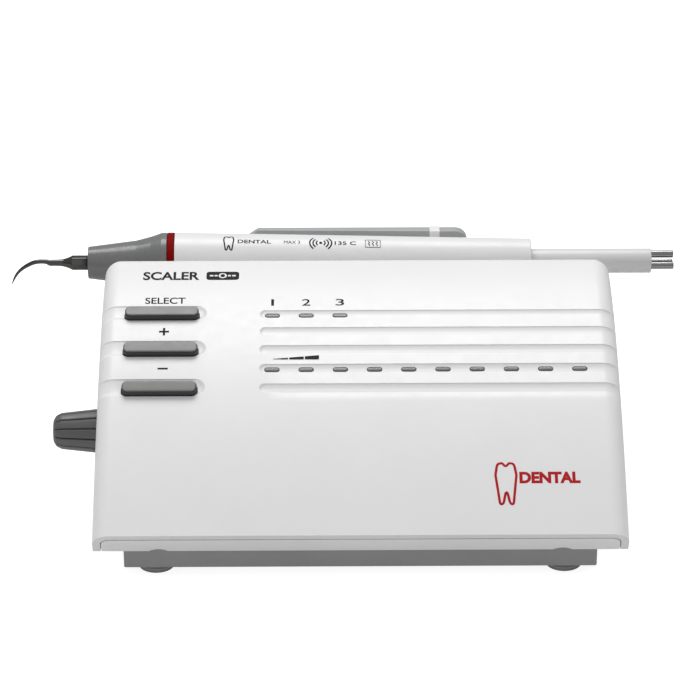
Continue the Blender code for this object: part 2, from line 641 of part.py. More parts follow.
# ---- handpiece ------------------------------------------------------------------------------------------
def turned(name, profile, steps=20):
    return revolve(name, profile, (0, HAND_Y, HAND_Z), "X", steps)


def handpiece_shells():
    wall = 1.3
    body = turned("handpiece_body", [
        (BODY_X, RING_R - wall), (BODY_X, RING_R), (TAIL_X - 0.5, BODY_END_R), (TAIL_X, BODY_END_R - 0.4),
        (TAIL_X, TAIL_R + GAP), (TAIL_X - 8, TAIL_R + GAP), (TAIL_X - 8, BODY_END_R - wall),
        (BODY_X, RING_R - wall)], 28)
    accent = turned("accent_ring", ring_profile(RING_X + 0.1, BODY_X - GAP, RING_R - wall, RING_R), 28)
    nose = turned("nose_cone", [
        (NOSE_X, 2.9), (NOSE_X, 5.2), (NOSE_X + 0.25, 5.4), (-74.6, 7.46), (-69.5, 8.8),
        (-65.9, RING_R - 0.05), (RING_X - 0.2, RING_R), (RING_X - 0.2, 8.3), (-72.0, 5.4), (-86.0, 3.9),
        (-86.0, 2.9), (NOSE_X, 2.9)], 28)
    return [body, accent, nose]


def transducer():
    horn = turned("transducer_horn", [(-84.5, 2.2), (-74.0, 2.6), (-70.0, 4.4), (-60.0, 6.2), (-48.0, 6.2),
                                      (-46.0, 6.0)])
    discs = []
    for k, name in enumerate(("front_piezo_disc", "middle_piezo_disc", "rear_piezo_disc")):
        x = -45.8 + 4.4 * k
        discs.append(turned(name, ring_profile(x, x + 4.2, 2.4, 6.0)))
    bolt = turned("clamp_bolt", [(-45.7, 2.1), (-19.3, 2.1), (-19.3, 3.2), (-15.0, 3.2)], 20)
    mass = turned("back_mass", ring_profile(-32.4, -19.6, 2.4, 6.0))
    seal = turned("horn_seal", ring_profile(-67.6, -65.6, 5.4, 6.8), 28)
    lamp = turned("lamp_ring", ring_profile(-90.6, -86.4, 2.4, 2.75), 28)
    return [horn, *discs, bolt, mass, seal, lamp]


HOOK = ((-103.9, 0.0, 1.05), (-105.2, 0.4, 0.8), (-107.6, 0.46, 0.75), (-109.5, 0.08, 0.73),
        (-111.5, -0.85, 0.68), (-113.3, -2.05, 0.6), (-114.8, -3.5, 0.5), (-116.1, -5.45, 0.38),
        (TIP_X, -7.85, 0.15))


def scaler_tip():
    """Hexagonal screw-on root, tapered shank and a thin hooked point."""
    root = [(NOSE_X + 4.2, 1.9), (NOSE_X - 0.3, 1.9), (NOSE_X - 0.3, HEX_R), (HEX_X + 0.3, HEX_R),
            (HEX_X, HEX_R - 0.2), (-97.8, 1.9), (-98.9, 1.45), (-100.0, 1.15), (-102.2, 1.08)]
    rings = []
    for x, r in root:
        rings.append([(x, HAND_Y + r * math.cos(math.pi * k / 6), HAND_Z + r * math.sin(math.pi * k / 6))
                      for k in range(12)])
    for i, (x, drop, r) in enumerate(HOOK):
        ahead = HOOK[min(i + 1, len(HOOK) - 1)]
        behind = HOOK[max(i - 1, 0)]
        way = Vector((ahead[0] - behind[0], 0, ahead[1] - behind[1])).normalized()
        up = Vector((way.z, 0, -way.x))
        centre = Vector((x, HAND_Y, HAND_Z + drop))
        angles = [math.pi * k / 6 for k in range(12)]
        rings.append([centre + r * (Vector((0, math.cos(a), 0)) + up * math.sin(a)) for a in angles])
    return loft("scaler_tip", rings)


def tail():
    plug = turned("tail_plug", [(TAIL_X - 7.0, TAIL_R), (TAIL_END - 0.5, TAIL_R), (TAIL_END, TAIL_R - 0.5)])
    pins = []
    for k, name in enumerate(("upper_contact_pin", "rear_contact_pin", "front_contact_pin")):
        a = math.radians(80 - 120 * k)
        at = (0, HAND_Y + PIN_SPREAD * math.cos(a), HAND_Z + PIN_SPREAD * math.sin(a))
        profile = [(TAIL_END - 4, PIN_R), (PIN_END - 0.5, PIN_R), (PIN_END, PIN_R - 0.4)]
        pins.append(revolve(name, profile, at, "X", 16))
        cut(plug, revolve("pin_hole", [(TAIL_END - 4.4, PIN_R + 0.15), (TAIL_END + 1, PIN_R + 0.15)],
                          at, "X", 16))
    return [plug, *pins]


# ---- assembly -------------------------------------------------------------------------------------------
def panel_pivot(s):
    y, z = panel_point(s)
    return (BUTTON_X, y, z)


def parts():
    """Every piece with its material, pivot (None stays at the frame origin) and smooth shading."""
    buttons = ("mode_button", "plus_button", "minus_button")
    switches = ("mode_switch", "plus_switch", "minus_switch")
    hand = (0, HAND_Y, HAND_Z)
    knob_at = (-HALF_WIDTH, KNOB_Y, KNOB_Z)
    yield top_cover(), "cover_white", None
    yield lower_shell(), "shell_grey", None
    yield base_plate(), "base_grey", None
    for ob in feet():
        yield ob, "rubber_black", None
    for ob in case_screws():
        yield ob, "steel", None
    yield rear_panel(), "shell_grey", None
    yield holder(), "holder_grey", None
    yield holder_clip(), "cover_white", None
    for i, name in enumerate(buttons):
        yield button(name, i), "button_grey", panel_pivot(button_s(i))
    for i, name in enumerate(switches):
        yield tact_switch(name, i), "black_plastic", None
    for name, s, count in led_rows():
        yield light_lens(name, s, count), "lens_grey", None
    yield control_board(), "board_green", None
    yield main_board(), "board_green", None
    for ob, mat in zip(transformer(), ("steel", "copper")):
        yield ob, mat, None
    yield heat_sink(), "aluminium", None
    for ob, mat in zip(electrics(), ("black_plastic", "black_plastic")):
        yield ob, mat, None
    for ob, mat, at in zip(water_parts(), ("knob_grey", "steel", "brass", "brass"),
                           (knob_at, knob_at, None, None)):
        yield ob, mat, at
    for ob, mat, at in zip(solenoid(), ("brass", "copper", "steel"), (None, None, (VALVE_X, VALVE_Y, 21))):
        yield ob, mat, at
    for ob in tubes():
        yield ob, "tube_clear", None
    for ob, mat in zip(rear_fittings(), ("black_plastic", "brass", "steel", "black_plastic",
                                         "black_plastic")):
        yield ob, mat, None
    yield power_rocker(), "black_plastic", ROCKER_PIVOT
    for ob, mat in zip(handpiece_shells(), ("cover_white", "accent_red", "nose_grey")):
        yield ob, mat, hand
    for ob, mat in zip(transducer(), ("steel", "ceramic", "ceramic", "ceramic", "steel", "steel",
                                      "rubber_black", "lens_grey")):
        yield ob, mat, hand
    yield scaler_tip(), "steel", hand
    for ob, mat in zip(tail(), ("shell_grey", "steel", "steel", "steel")):
        yield ob, mat, hand


def finish(ob, mat, pivot, shift):
    """Scale to metres about the pivot, stand the piece in the frame, shade round faces smooth."""
    at = Vector(pivot or (0, 0, 0))
    ob.data.transform(Matrix.Translation(-at))
    ob.data.transform(Matrix.Scale(MM, 4))
    ob.location = (at + shift) * MM
    ob.data.materials.clear()
    ob.data.materials.append(material(mat))
    ob.data.update()
    ob.data.shade_smooth()
    ob.data.set_sharp_from_angle(angle=math.radians(32))


def main():
    clear_scene()
    made = list(parts())
    rear = REAR_Y + 9.4
    shift = Vector((-(TIP_X + PIN_END) / 2, -rear / 2, 0))
    for ob, mat, pivot in made:
        finish(ob, mat, pivot, shift)


main()
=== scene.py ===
from math import ceil, cos, dist, exp, floor, pi, radians, sin, sqrt, tan

import bmesh
import bpy
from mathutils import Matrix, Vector


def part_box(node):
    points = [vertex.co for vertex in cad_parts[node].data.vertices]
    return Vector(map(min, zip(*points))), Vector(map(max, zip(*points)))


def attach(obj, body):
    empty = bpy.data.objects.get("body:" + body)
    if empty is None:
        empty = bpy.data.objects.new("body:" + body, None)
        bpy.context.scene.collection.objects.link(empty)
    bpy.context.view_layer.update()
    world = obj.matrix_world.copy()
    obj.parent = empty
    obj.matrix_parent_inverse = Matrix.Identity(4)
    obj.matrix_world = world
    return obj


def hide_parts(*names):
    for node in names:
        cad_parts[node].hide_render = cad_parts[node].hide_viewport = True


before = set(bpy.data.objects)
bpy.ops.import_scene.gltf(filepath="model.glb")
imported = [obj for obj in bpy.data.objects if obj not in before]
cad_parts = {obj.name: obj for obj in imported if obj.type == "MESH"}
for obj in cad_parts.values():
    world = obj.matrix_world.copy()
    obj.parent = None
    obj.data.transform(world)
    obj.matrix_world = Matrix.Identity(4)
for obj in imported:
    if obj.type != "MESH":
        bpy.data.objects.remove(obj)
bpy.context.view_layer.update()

MM = 0.001
cover_low, cover_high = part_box("top_cover")
ORIGIN = Vector(((cover_low.x + cover_high.x) / 2 / MM, cover_low.y / MM, 0.0))

# ---- console: the driving sizes ----
HALF_WIDTH = (cover_high.x - cover_low.x) / 2 / MM
WALL = 2.5
SIDE_ROUND = 5.5
FRONT_EDGE_Z = 19.2
PANEL_LENGTH = 116.0
SLOPE_RIDGE, SLOPE_LIMIT, SLOPE_DECAY = radians(3.0), radians(38.5), 58.0
RIDGE_ROUND = 6.0
TROUGH_Z, TROUGH_FILLET, TROUGH_DEPTH = 42.5, 3.0, 31.0
CASE_BOTTOM = 10.7
LIP_LENGTH, LIP_ROUND, LIP_SIDE_GAP = 10.2, 2.9, 0.25
TRAY_TOP, TRAY_FLOOR = 15.2, 2.5
GAP = 0.3
BASE_Z, BASE_HALF, BASE_FRONT, BASE_REAR_INSET, BASE_WALL, BASE_DRAFT = 3.1, 74.6, 8.2, 8.0, 2.5, 0.5
BASE_CORNER = 0.8
FOOT_X, FOOT_R, FOOT_INSET = 64.6, 6.0, 8.0
NOTCH_X, NOTCH_Z, NOTCH_R = 63.4, 6.95, 4.8

GROOVE_S, GROOVE_PITCH, GROOVE_WIDE, GROOVE_DEEP, GROOVE_X = 27.3, 8.04, 3.6, 0.6, -32.0
GROOVE_COUNT, LEDGE = 5, 0.3    # the ledges between the grooves lie this far under the panel
BUTTON_S, BUTTON_PITCH, BUTTON_X = 29.4, 16.2, -64.0
BUTTON_LONG, BUTTON_WIDE, BUTTON_PROUD, BUTTON_CORNER = 24.0, 4.7, 2.2, 1.7
SCOOP_LEAD, SCOOP_WIDE, SCOOP_DEEP, SCOOP_END = 4.3, 6.6, 0.7, -49.4
LED_X, LED_PITCH, LED_LONG, LED_WIDE, LED_INSET = -28.0, 11.0, 4.7, 1.6, 2.0
KNOB_Y, KNOB_Z, KNOB_R, KNOB_LONG = 50.0, 30.3, 7.1, 14.2
FLUTES, FLUTE_DEPTH, FLUTE_SHARPNESS, FLUTE_TURN = 12, 0.13, 14, 0.05
SPINDLE_HOLE_R = 4.3
REAR_WINDOW_HALF, REAR_WINDOW_LOW, REAR_WINDOW_HIGH = 62.0, 16.0, 38.0

HAND_Y, HAND_Z = 125.0, 55.7
TIP_X, HEX_X, NOSE_X, RING_X = -117.2, -96.6, -90.9, -64.0
BODY_X, TAIL_X, TAIL_END, PIN_END = -61.5, 58.9, 99.7, 107.3
RING_R, TAIL_R, BODY_END_R, HEX_R, HAND_WALL = 10.1, 4.15, 7.65, 2.6, 1.3
PIN_R, PIN_SPREAD, PIN_TURN = 1.25, 2.3, 80.0
HOLDER_X0, HOLDER_X1, HOLDER_WALL, HOLDER_TOP = -36.7, 37.7, 2.4, 63.1
HOLDER_SLANT, HOLDER_SLANT_DROP, HOLDER_ROUND, HOLDER_ROUND_LONG = 3.2, 2.2, 4.0, 4.2
CLIP_X0, CLIP_X1, CLIP_THICK, CLIP_LOW, CLIP_SIDE_GAP = 24.9, 28.3, 0.9, 58.6, 0.05


# ---- the curved panel ----
def slope(s):
    """Fall of the panel at arc length s from the ridge: gentle there, steeper toward the front."""
    return SLOPE_RIDGE + (SLOPE_LIMIT - SLOPE_RIDGE) * (1 - exp(-s / SLOPE_DECAY))


def panel_curve(steps=1160):
    """(y, z) points along the panel from the ridge down to its front edge."""
    ds = PANEL_LENGTH / steps
    back = [(0.0, 0.0)]
    for i in range(steps):
        a = slope((i + 0.5) * ds)
        back.append((back[-1][0] - ds * cos(a), back[-1][1] - ds * sin(a)))
    end = back[-1]
    return [(y - end[0], z - end[1] + FRONT_EDGE_Z) for y, z in back]


CURVE = panel_curve()


def panel_point(s, height=0.0):
    """(y, z) on the panel at arc length s from the ridge, standing off by height."""
    k = min(max(s / PANEL_LENGTH * (len(CURVE) - 1), 0), len(CURVE) - 1.001)
    i, f = int(k), k - int(k)
    y = CURVE[i][0] * (1 - f) + CURVE[i + 1][0] * f
    z = CURVE[i][1] * (1 - f) + CURVE[i + 1][1] * f
    a = slope(s)
    return y - height * sin(a), z + height * cos(a)


def square_point(s, along, height):
    """(y, z) in the flat frame that stands on the panel at s; along runs toward the front."""
    y, z = panel_point(s, height)
    a = slope(s)
    return y - along * cos(a), z - along * sin(a)


RIDGE_Y, RIDGE_Z = CURVE[0]
RIDGE_CENTRE = (RIDGE_Y + RIDGE_ROUND * sin(SLOPE_RIDGE),
                RIDGE_Z - RIDGE_ROUND * cos(SLOPE_RIDGE))
WALL_Y = RIDGE_CENTRE[0] + RIDGE_ROUND
REAR_Y = WALL_Y + TROUGH_DEPTH
LIP_Y = LIP_LENGTH * sin(slope(PANEL_LENGTH))


def smooth(low, high, value):
    """0 up to low, 1 from high, and an even rise between."""
    t = min(max((value - low) / (high - low), 0.0), 1.0)
    return t * t * (3 - 2 * t)


# ---- mesh helpers ----
def add_object(name, data):
    ob = bpy.data.objects.new(name, data)
    bpy.context.scene.collection.objects.link(ob)
    return ob


def piece(name, verts, faces, mat, body, replaces=(), slot=None, sharp=35.0, recalc=True):
    """Mesh from drawing millimetres, placed in the frame and riding on a CAD body; mat is a key of MATS."""
    mesh = bpy.data.meshes.new(name)
    bm = bmesh.new()
    made = [bm.verts.new((Vector(v) + ORIGIN) * MM) for v in verts]
    for face in faces:
        bm.faces.new([made[i] for i in face])
    if recalc:
        bmesh.ops.recalc_face_normals(bm, faces=bm.faces)
    bm.to_mesh(mesh)
    bm.free()
    return dress(add_object(name, mesh), mat, body, replaces, slot, sharp)


def dress(ob, mat, body, replaces=(), slot=None, sharp=35.0):
    """Shading, material, body and replaced CAD nodes of one piece; slot is not used."""
    ob.data.shade_smooth()
    if sharp:
        ob.data.set_sharp_from_angle(angle=radians(sharp))
    if mat:
        ob.data.materials.clear()
        ob.data.materials.append(MATS[mat])
    if body:
        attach(ob, body)
    if replaces:
        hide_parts(*replaces)
    return ob


def loft(rings, caps=True):
    """Vertices and faces through closed rings of equally many points."""
    n = len(rings[0])
    verts = [p for ring in rings for p in ring]
    faces = []
    for k in range(len(rings) - 1):
        for i in range(n):
            j = (i + 1) % n
            faces.append([k * n + i, k * n + j, (k + 1) * n + j, (k + 1) * n + i])
    if caps:
        faces.append(list(range(n))[::-1])
        faces.append([(len(rings) - 1) * n + i for i in range(n)])
    return verts, faces


def fillet(points, radius, steps=5, closed=True):
    """Polyline with its corners rounded; radius is one number or one for each point."""
    n = len(points)
    out = []
    for i, p in enumerate(points):
        r = radius if isinstance(radius, (int, float)) else radius[i]
        if r <= 0 or (not closed and i in (0, n - 1)):
            out.append(tuple(p))
            continue
        p = Vector(p)
        a, b = Vector(points[i - 1]) - p, Vector(points[(i + 1) % n]) - p
        angle = a.angle(b)
        cut = min(r / tan(angle / 2), 0.49 * a.length, 0.49 * b.length)
        start, end = p + a.normalized() * cut, p + b.normalized() * cut
        for k in range(steps + 1):
            t = k / steps
            out.append(tuple(start * (1 - t) ** 2 + p * 2 * t * (1 - t) + end * t * t))
    return out


def turned(profile, centre, axis="X", steps=96, shape=None):
    """Verts and faces of a piece turned about an axis; profile is (along, radius).

    shape(along, angle) scales the radius, for flutes and knurls. A profile whose first and
    last points are the same is a ring; otherwise its two ends are closed flat.
    """
    ring = profile[0] == profile[-1]
    points = profile[:-1] if ring else profile
    rings = []
    for along, radius in points:
        loop = []
        for i in range(steps):
            a = 2 * pi * i / steps
            r = radius * (shape(along, a) if shape else 1.0)
            u, v = r * cos(a), r * sin(a)
            local = {"X": (along, u, v), "Y": (u, along, v), "Z": (u, v, along)}[axis]
            loop.append(Vector(centre) + Vector(local))
        rings.append(loop)
    if ring:
        rings.append(rings[0])
        verts, faces = loft(rings, caps=False)
        n, last = steps, (len(rings) - 1) * steps
        return verts[:last], [[i % last for i in f] for f in faces]
    return loft(rings)


def dense(profile, step):
    """The same line with extra points, none further apart than step."""
    out = [profile[0]]
    for a, b in zip(profile, profile[1:]):
        count = max(1, ceil(dist(a, b) / step))
        out += [tuple(p + (q - p) * k / count for p, q in zip(a, b)) for k in range(1, count + 1)]
    return out


def arc(x, y, r, start, sweep, steps):
    """Points round (x, y), from the angle start through sweep."""
    angles = [start + sweep * k / steps for k in range(steps + 1)]
    return [(x + r * cos(a), y + r * sin(a)) for a in angles]


def stadium(long, wide, steps=16):
    """Slot outline with half-round ends."""
    r, half = wide / 2, (long - wide) / 2
    return arc(half, 0, r, -pi / 2, pi, steps) + arc(-half, 0, r, pi / 2, pi, steps)


def rounded_slot(long, wide, corner, steps=10):
    """Rectangle with rounded corners."""
    points = []
    for x, y, start in ((1, -1, -pi / 2), (1, 1, 0), (-1, 1, pi / 2), (-1, -1, pi)):
        points += arc(x * (long / 2 - corner), y * (wide / 2 - corner), corner, start, pi / 2, steps)
    return points


def cut_with(ob, verts, faces):
    """Exact Boolean difference with one solid, or several that don't touch, in drawing mm."""
    tool = piece("cutter", verts, faces, None, None)
    mod = ob.modifiers.new("cut", "BOOLEAN")
    mod.operation, mod.solver, mod.object = "DIFFERENCE", "EXACT", tool
    bpy.context.view_layer.update()
    graph = bpy.context.evaluated_depsgraph_get()
    ob.data = bpy.data.meshes.new_from_object(ob.evaluated_get(graph))
    ob.modifiers.clear()
    bpy.data.objects.remove(tool, do_unlink=True)


def merge(*solids):
    """Several (verts, faces) as one."""
    verts, faces = [], []
    for v, f in solids:
        base = len(verts)
        verts += list(v)
        faces += [[i + base for i in face] for face in f]
    return verts, faces


def box_solid(x, y, z):
    """Box from (low, high) along each axis."""
    return loft([[(xx, y[0], z[0]), (xx, y[1], z[0]), (xx, y[1], z[1]), (xx, y[0], z[1])] for xx in x])


def soften(ob, width, segments, angle):
    """Bevel the edges that are sharper than the angle."""
    mod = ob.modifiers.new("soft_edges", "BEVEL")
    mod.width, mod.segments = width * MM, segments
    mod.limit_method, mod.angle_limit = "ANGLE", radians(angle)


# ---- materials ----
class Nodes:
    """Short way to write a node tree."""

    def __init__(self, name):
        self.mat = bpy.data.materials.new(name)
        self.mat.use_nodes = True
        self.tree = self.mat.node_tree
        self.shader = self.tree.nodes["Principled BSDF"]
        self.where = self.add("TexCoord").outputs["Object"]

    def add(self, kind, **values):
        node = self.tree.nodes.new("ShaderNode" + kind)
        for key, value in values.items():
            if hasattr(node, key):
                setattr(node, key, value)
            else:
                self.feed(node, key.replace("_", " "), value)
        return node

    def feed(self, node, name, value):
        socket = node.inputs[name]
        if isinstance(value, bpy.types.NodeSocket):
            self.tree.links.new(value, socket)
        else:
            socket.default_value = value

    def set(self, **values):
        for key, value in values.items():
            self.feed(self.shader, key.replace("_", " "), value)

    def noise(self, scale, detail=4.0, stretch=(1, 1, 1), roughness=0.5):
        where = self.add("Mapping", Vector=self.where, Scale=stretch).outputs["Vector"]
        return self.add("TexNoise", Vector=where, Scale=scale, Detail=detail,
                        Roughness=roughness).outputs["Fac"]

    def remap(self, value, low=0.0, high=1.0, start=0.3, end=0.7):
        return self.add("MapRange", Value=value, From_Min=start, From_Max=end,
                        To_Min=low, To_Max=high).outputs["Result"]

    def blend(self, factor, a, b):
        node = self.add("Mix", data_type="RGBA")
        self.feed(node, "Factor", factor)
        for index, value in ((6, a), (7, b)):
            self.feed(node, index, value if isinstance(value, bpy.types.NodeSocket) else (*value, 1.0))
        return node.outputs[2]

    def bump(self, height, distance):
        node = self.add("Bump", Height=height, Distance=distance)
        self.set(Normal=node.outputs["Normal"])


def shade(colour, factor):
    """Lighter or darker version of a colour."""
    return tuple(min(c * factor, 1.0) for c in colour)


def moulded(name, colour, roughness, grain, depth, mottle, coat=0.0, sss=0.0, shine=0.5):
    """Moulded plastic: fine spark texture some microns deep, faint mottling and uneven gloss."""
    n = Nodes(name)
    cloud = n.noise(45.0, 3.0)
    speck = n.noise(grain, 5.0, roughness=0.65)
    base = n.blend(n.remap(cloud), shade(colour, 1 - mottle), shade(colour, 1 + mottle))
    n.set(Base_Color=n.blend(n.remap(speck, 0.0, 0.5, 0.45, 0.8), base, shade(colour, 1 - 2.5 * mottle)),
          Roughness=n.remap(n.noise(300.0, 4.0), roughness - 0.05, roughness + 0.06),
          Coat_Weight=coat, Coat_Roughness=0.15, IOR=1.48, Specular_IOR_Level=shine)
    if sss:
        n.set(Subsurface_Weight=sss, Subsurface_Radius=(0.002, 0.002, 0.0018), Subsurface_Scale=0.5)
    n.bump(speck, depth * 1e-6)
    return n.mat


def metal(name, colour, roughness, stretch, scale=1500.0, depth=6):
    """Turned or drawn metal: fine lines some microns deep along one direction, and cloudy gloss."""
    n = Nodes(name)
    lines = n.noise(scale, 4.0, stretch)
    cloud = n.noise(120.0, 3.0)
    n.set(Base_Color=n.blend(n.remap(cloud), shade(colour, 0.92), shade(colour, 1.05)),
          Metallic=1.0, Roughness=n.remap(lines, roughness - 0.07, roughness + 0.1))
    n.bump(lines, depth * 1e-6)
    return n.mat


def rubber(name, colour):
    """Matt rubber with a film of dust."""
    n = Nodes(name)
    speck = n.noise(1800.0, 6.0, roughness=0.7)
    dust = n.noise(160.0, 4.0)
    n.set(Base_Color=n.blend(n.remap(dust, 0.0, 0.35, 0.45, 0.8), colour, shade(colour, 1.9)),
          Roughness=n.remap(speck, 0.7, 0.92), Specular_IOR_Level=0.3)
    n.bump(speck, 0.00004)
    return n.mat


def board(name):
    """Circuit board: solder mask over a grid of tracks and tinned pads."""
    n = Nodes(name)
    cells = n.add("TexVoronoi", Vector=n.where, Scale=420.0,
                  distance="CHEBYCHEV").outputs["Distance"]
    tracks = n.add("TexBrick", Vector=n.where, Scale=260.0, Mortar_Size=0.03).outputs["Fac"]
    mask = n.blend(tracks, (0.02, 0.20, 0.09), (0.05, 0.33, 0.15))
    n.set(Base_Color=n.blend(n.remap(cells, 1.0, 0.0, 0.06, 0.1), mask, (0.75, 0.76, 0.74)), Roughness=0.35)
    n.bump(tracks, 0.00003)
    return n.mat


def winding(name, colour):
    """Enamelled wire in close turns."""
    n = Nodes(name)
    wave = n.add("TexWave", Vector=n.where, Scale=520.0, Distortion=0.6,
                 bands_direction="Z").outputs["Fac"]
    n.set(Base_Color=n.blend(wave, shade(colour, 0.5), colour), Metallic=0.8, Roughness=0.35)
    n.bump(wave, 0.0001)
    return n.mat


def ink(name, colour):
    """Printed ink: slightly uneven film."""
    n = Nodes(name)
    speck = n.noise(3200.0, 3.0)
    n.set(Base_Color=n.blend(n.remap(speck), shade(colour, 0.9), shade(colour, 1.12)),
          Roughness=n.remap(speck, 0.5, 0.65), Specular_IOR_Level=0.15)
    return n.mat


MATS = {
    "cover": moulded("cover_white", (0.84, 0.84, 0.842), 0.36, 3200.0, 6, 0.012, sss=0.03),
    # painted shade for the cover's mouth edge: a darker copy of the cover's white
    "painted_mouth_shade": moulded("cover_mouth_painted_shade", (0.64, 0.64, 0.642), 0.5, 3200.0, 6, 0.02),
    "shell": moulded("shell_grey", (0.69, 0.69, 0.69), 0.45, 2600.0, 12, 0.02),
    "rear": moulded("rear_grey", (0.42, 0.42, 0.43), 0.5, 2600.0, 20, 0.02),
    "base": moulded("base_grey", (0.265, 0.265, 0.267), 0.5, 2200.0, 30, 0.05),
    "button": moulded("button_grey", (0.22, 0.22, 0.222), 0.42, 2800.0, 12, 0.03),
    "button_warm": moulded("button_warm_grey", (0.195, 0.193, 0.187), 0.42, 2800.0, 12, 0.03),
    # near-black skirt: dark plastic, darkened further as painted shade for the buttons' shaded sides
    "skirt": moulded("skirt_painted_shade", (0.036, 0.036, 0.038), 0.5, 2800.0, 12, 0.05),
    "lens": moulded("lens_grey", (0.105, 0.105, 0.105), 0.25, 2400.0, 6, 0.05, coat=0.2),
    "knob": moulded("knob_grey", (0.112, 0.112, 0.115), 0.42, 2400.0, 20, 0.06),
    "nose": moulded("nose_grey", (0.17, 0.172, 0.172), 0.24, 2600.0, 10, 0.03),
    "red": moulded("accent_red", (0.22, 0.001, 0.001), 0.6, 2400.0, 8, 0.04, shine=0.05),
    "barrel": moulded("barrel_white", (0.80, 0.80, 0.802), 0.34, 3000.0, 5, 0.012, sss=0.03),
    "tail": moulded("tail_grey", (0.69, 0.69, 0.69), 0.36, 2800.0, 8, 0.02),
    "holder": moulded("holder_grey", (0.38, 0.385, 0.39), 0.5, 2200.0, 20, 0.03),
    "black": moulded("black_plastic", (0.025, 0.025, 0.026), 0.4, 2200.0, 30, 0.1),
    "strap": moulded("strap_white", (0.84, 0.84, 0.84), 0.4, 2400.0, 10, 0.02),
    "tube": moulded("tube_clear", (0.72, 0.78, 0.84), 0.2, 1200.0, 10, 0.03, coat=0.6),
    "ceramic": moulded("piezo_ceramic", (0.78, 0.75, 0.66), 0.45, 2000.0, 30, 0.04),
    "steel": metal("polished_steel", (0.55, 0.55, 0.56), 0.2, (0.1, 1, 1)),
    # tip steel with a very dark base colour: a painted reflection of dark surroundings, which bright steel
    # would mirror
    "chrome": metal("tip_steel_painted_dark_reflection", (0.085, 0.085, 0.083), 0.12, (0.1, 1, 1)),
    "pin": metal("pin_chrome", (0.28, 0.28, 0.28), 0.2, (0.1, 1, 1)),
    "brass": metal("turned_brass", (0.72, 0.53, 0.24), 0.28, (1, 0.1, 1)),
    "aluminium": metal("milled_aluminium", (0.72, 0.73, 0.75), 0.38, (1, 0.05, 1), 900.0, 10),
    "core": metal("laminated_core", (0.30, 0.30, 0.32), 0.45, (1, 8, 1), 600.0, 20),
    "rubber": rubber("foot_rubber", (0.17, 0.17, 0.171)),
    "foot_band": moulded("foot_band_grey", (0.34, 0.34, 0.34), 0.45, 2200.0, 20, 0.03),
    "seal": rubber("seal_rubber", (0.05, 0.05, 0.05)),
    "board": board("circuit_board"),
    "winding": winding("copper_winding", (0.72, 0.32, 0.14)),
    "ink": ink("panel_ink", (0.009, 0.009, 0.010)),
    "ink_red": ink("panel_ink_red", (0.45, 0.006, 0.010)),
    "ink_pale": ink("panel_ink_pale", (0.80, 0.80, 0.80)),
}


# ---- the white cover ----
def panel_samples():
    """Arc lengths along the panel, closer together at the grooves and scoops."""
    marks = {k * 1.45 for k in range(int(PANEL_LENGTH / 1.45) + 1)} | {PANEL_LENGTH}
    across = (-0.2, -0.06, 0.0, 0.05, 0.12, 0.25, 0.45, 0.7, 1.0, 1.4, 1.8, 2.3, 2.8, 3.2, 3.35, 3.45,
              3.6, 3.7, 3.85)
    for i in range(GROOVE_COUNT):
        marks |= {GROOVE_S + i * GROOVE_PITCH + a for a in across}
    for i in range(3):
        start = BUTTON_S + i * BUTTON_PITCH - SCOOP_LEAD
        marks |= {start + a for a in across} | {start + 0.25 * k for k in range(16, 28)}
    marks = sorted(marks)
    kept = [marks[0]]
    for s in marks[1:]:
        if s - kept[-1] > 0.035:
            kept.append(s)
    return kept


def outline(inset, samples, deeper=0.0, arcs=14):
    """Side outline of the case from the foot of its front lip round to the foot of its rear wall.

    inset moves every edge but the front lip and the bottom inward, and deeper carries only the
    panel's edge further in.
    """
    tight, wide = RIDGE_ROUND - inset, TROUGH_FILLET + inset
    points = [(LIP_Y, CASE_BOTTOM, None)]
    for s in reversed(samples):
        extra = deeper * smooth(3.0, 18.0, s) * (1 - smooth(100.0, 113.0, s))
        points.append((*panel_point(s, -inset - extra), s))
    turn = pi / 2 + SLOPE_RIDGE
    ridge = arc(*RIDGE_CENTRE, tight, turn, -turn, arcs)[1:]
    trough = arc(WALL_Y + TROUGH_FILLET, TROUGH_Z + TROUGH_FILLET, wide, pi, pi / 2, arcs)
    rear = arc(REAR_Y - RIDGE_ROUND, TROUGH_Z - RIDGE_ROUND, tight, pi / 2, -pi / 2, arcs)
    points += [(y, z, None) for y, z in ridge + trough + rear]
    points.append((REAR_Y - inset, CASE_BOTTOM, None))
    return points


def hollow(a, wide, deep):
    """Depth across a hollow: sharp upper edge, steep at first, then level."""
    fall = 1 - max(1 - a / (0.62 * wide), 0.0) ** 2
    return deep * (0.25 * smooth(0.0, 0.06, a) + 0.75 * fall)


def round_end(a, wide, reach, wall):
    """1 inside a hollow's half-round end, 0 outside; reach runs inward from its tip over a sloping wall."""
    r = wide / 2
    edge = r - sqrt(max(r * r - (a - r) ** 2, 0.0))
    rise = min(max((reach - edge) / wall, 0.0), 1.0)
    return 1 - (1 - rise) ** 2


def groove_depth(s, u):
    """Long grooves, and the ledges between them that rise back to the panel.

    s is the arc length down the panel and u the distance across, unrolled over the rounded side.
    """
    i = min(floor((s - GROOVE_S) / GROOVE_PITCH), GROOVE_COUNT - 1)
    a = s - GROOVE_S - i * GROOVE_PITCH
    run = GROOVE_PITCH if i < GROOVE_COUNT - 1 else GROOVE_WIDE + 2.0
    if i < 0 or not 0.0 < a < run:
        return 0.0
    fade = 1 - smooth(HALF_WIDTH - 3.0, HALF_WIDTH + 2.6, u)
    ledge = LEDGE * (1 - max(a - GROOVE_WIDE, 0.0) / (run - GROOVE_WIDE))
    ledge *= smooth(GROOVE_X + 2, GROOVE_X + 9, u)
    if a >= GROOVE_WIDE:
        return ledge * fade
    out = smooth(GROOVE_WIDE - 0.25, GROOVE_WIDE, a)
    depth = hollow(a, GROOVE_WIDE, GROOVE_DEEP) * (1 - out) + ledge * out
    return depth * round_end(a, GROOVE_WIDE, u - GROOVE_X, 0.8) * fade


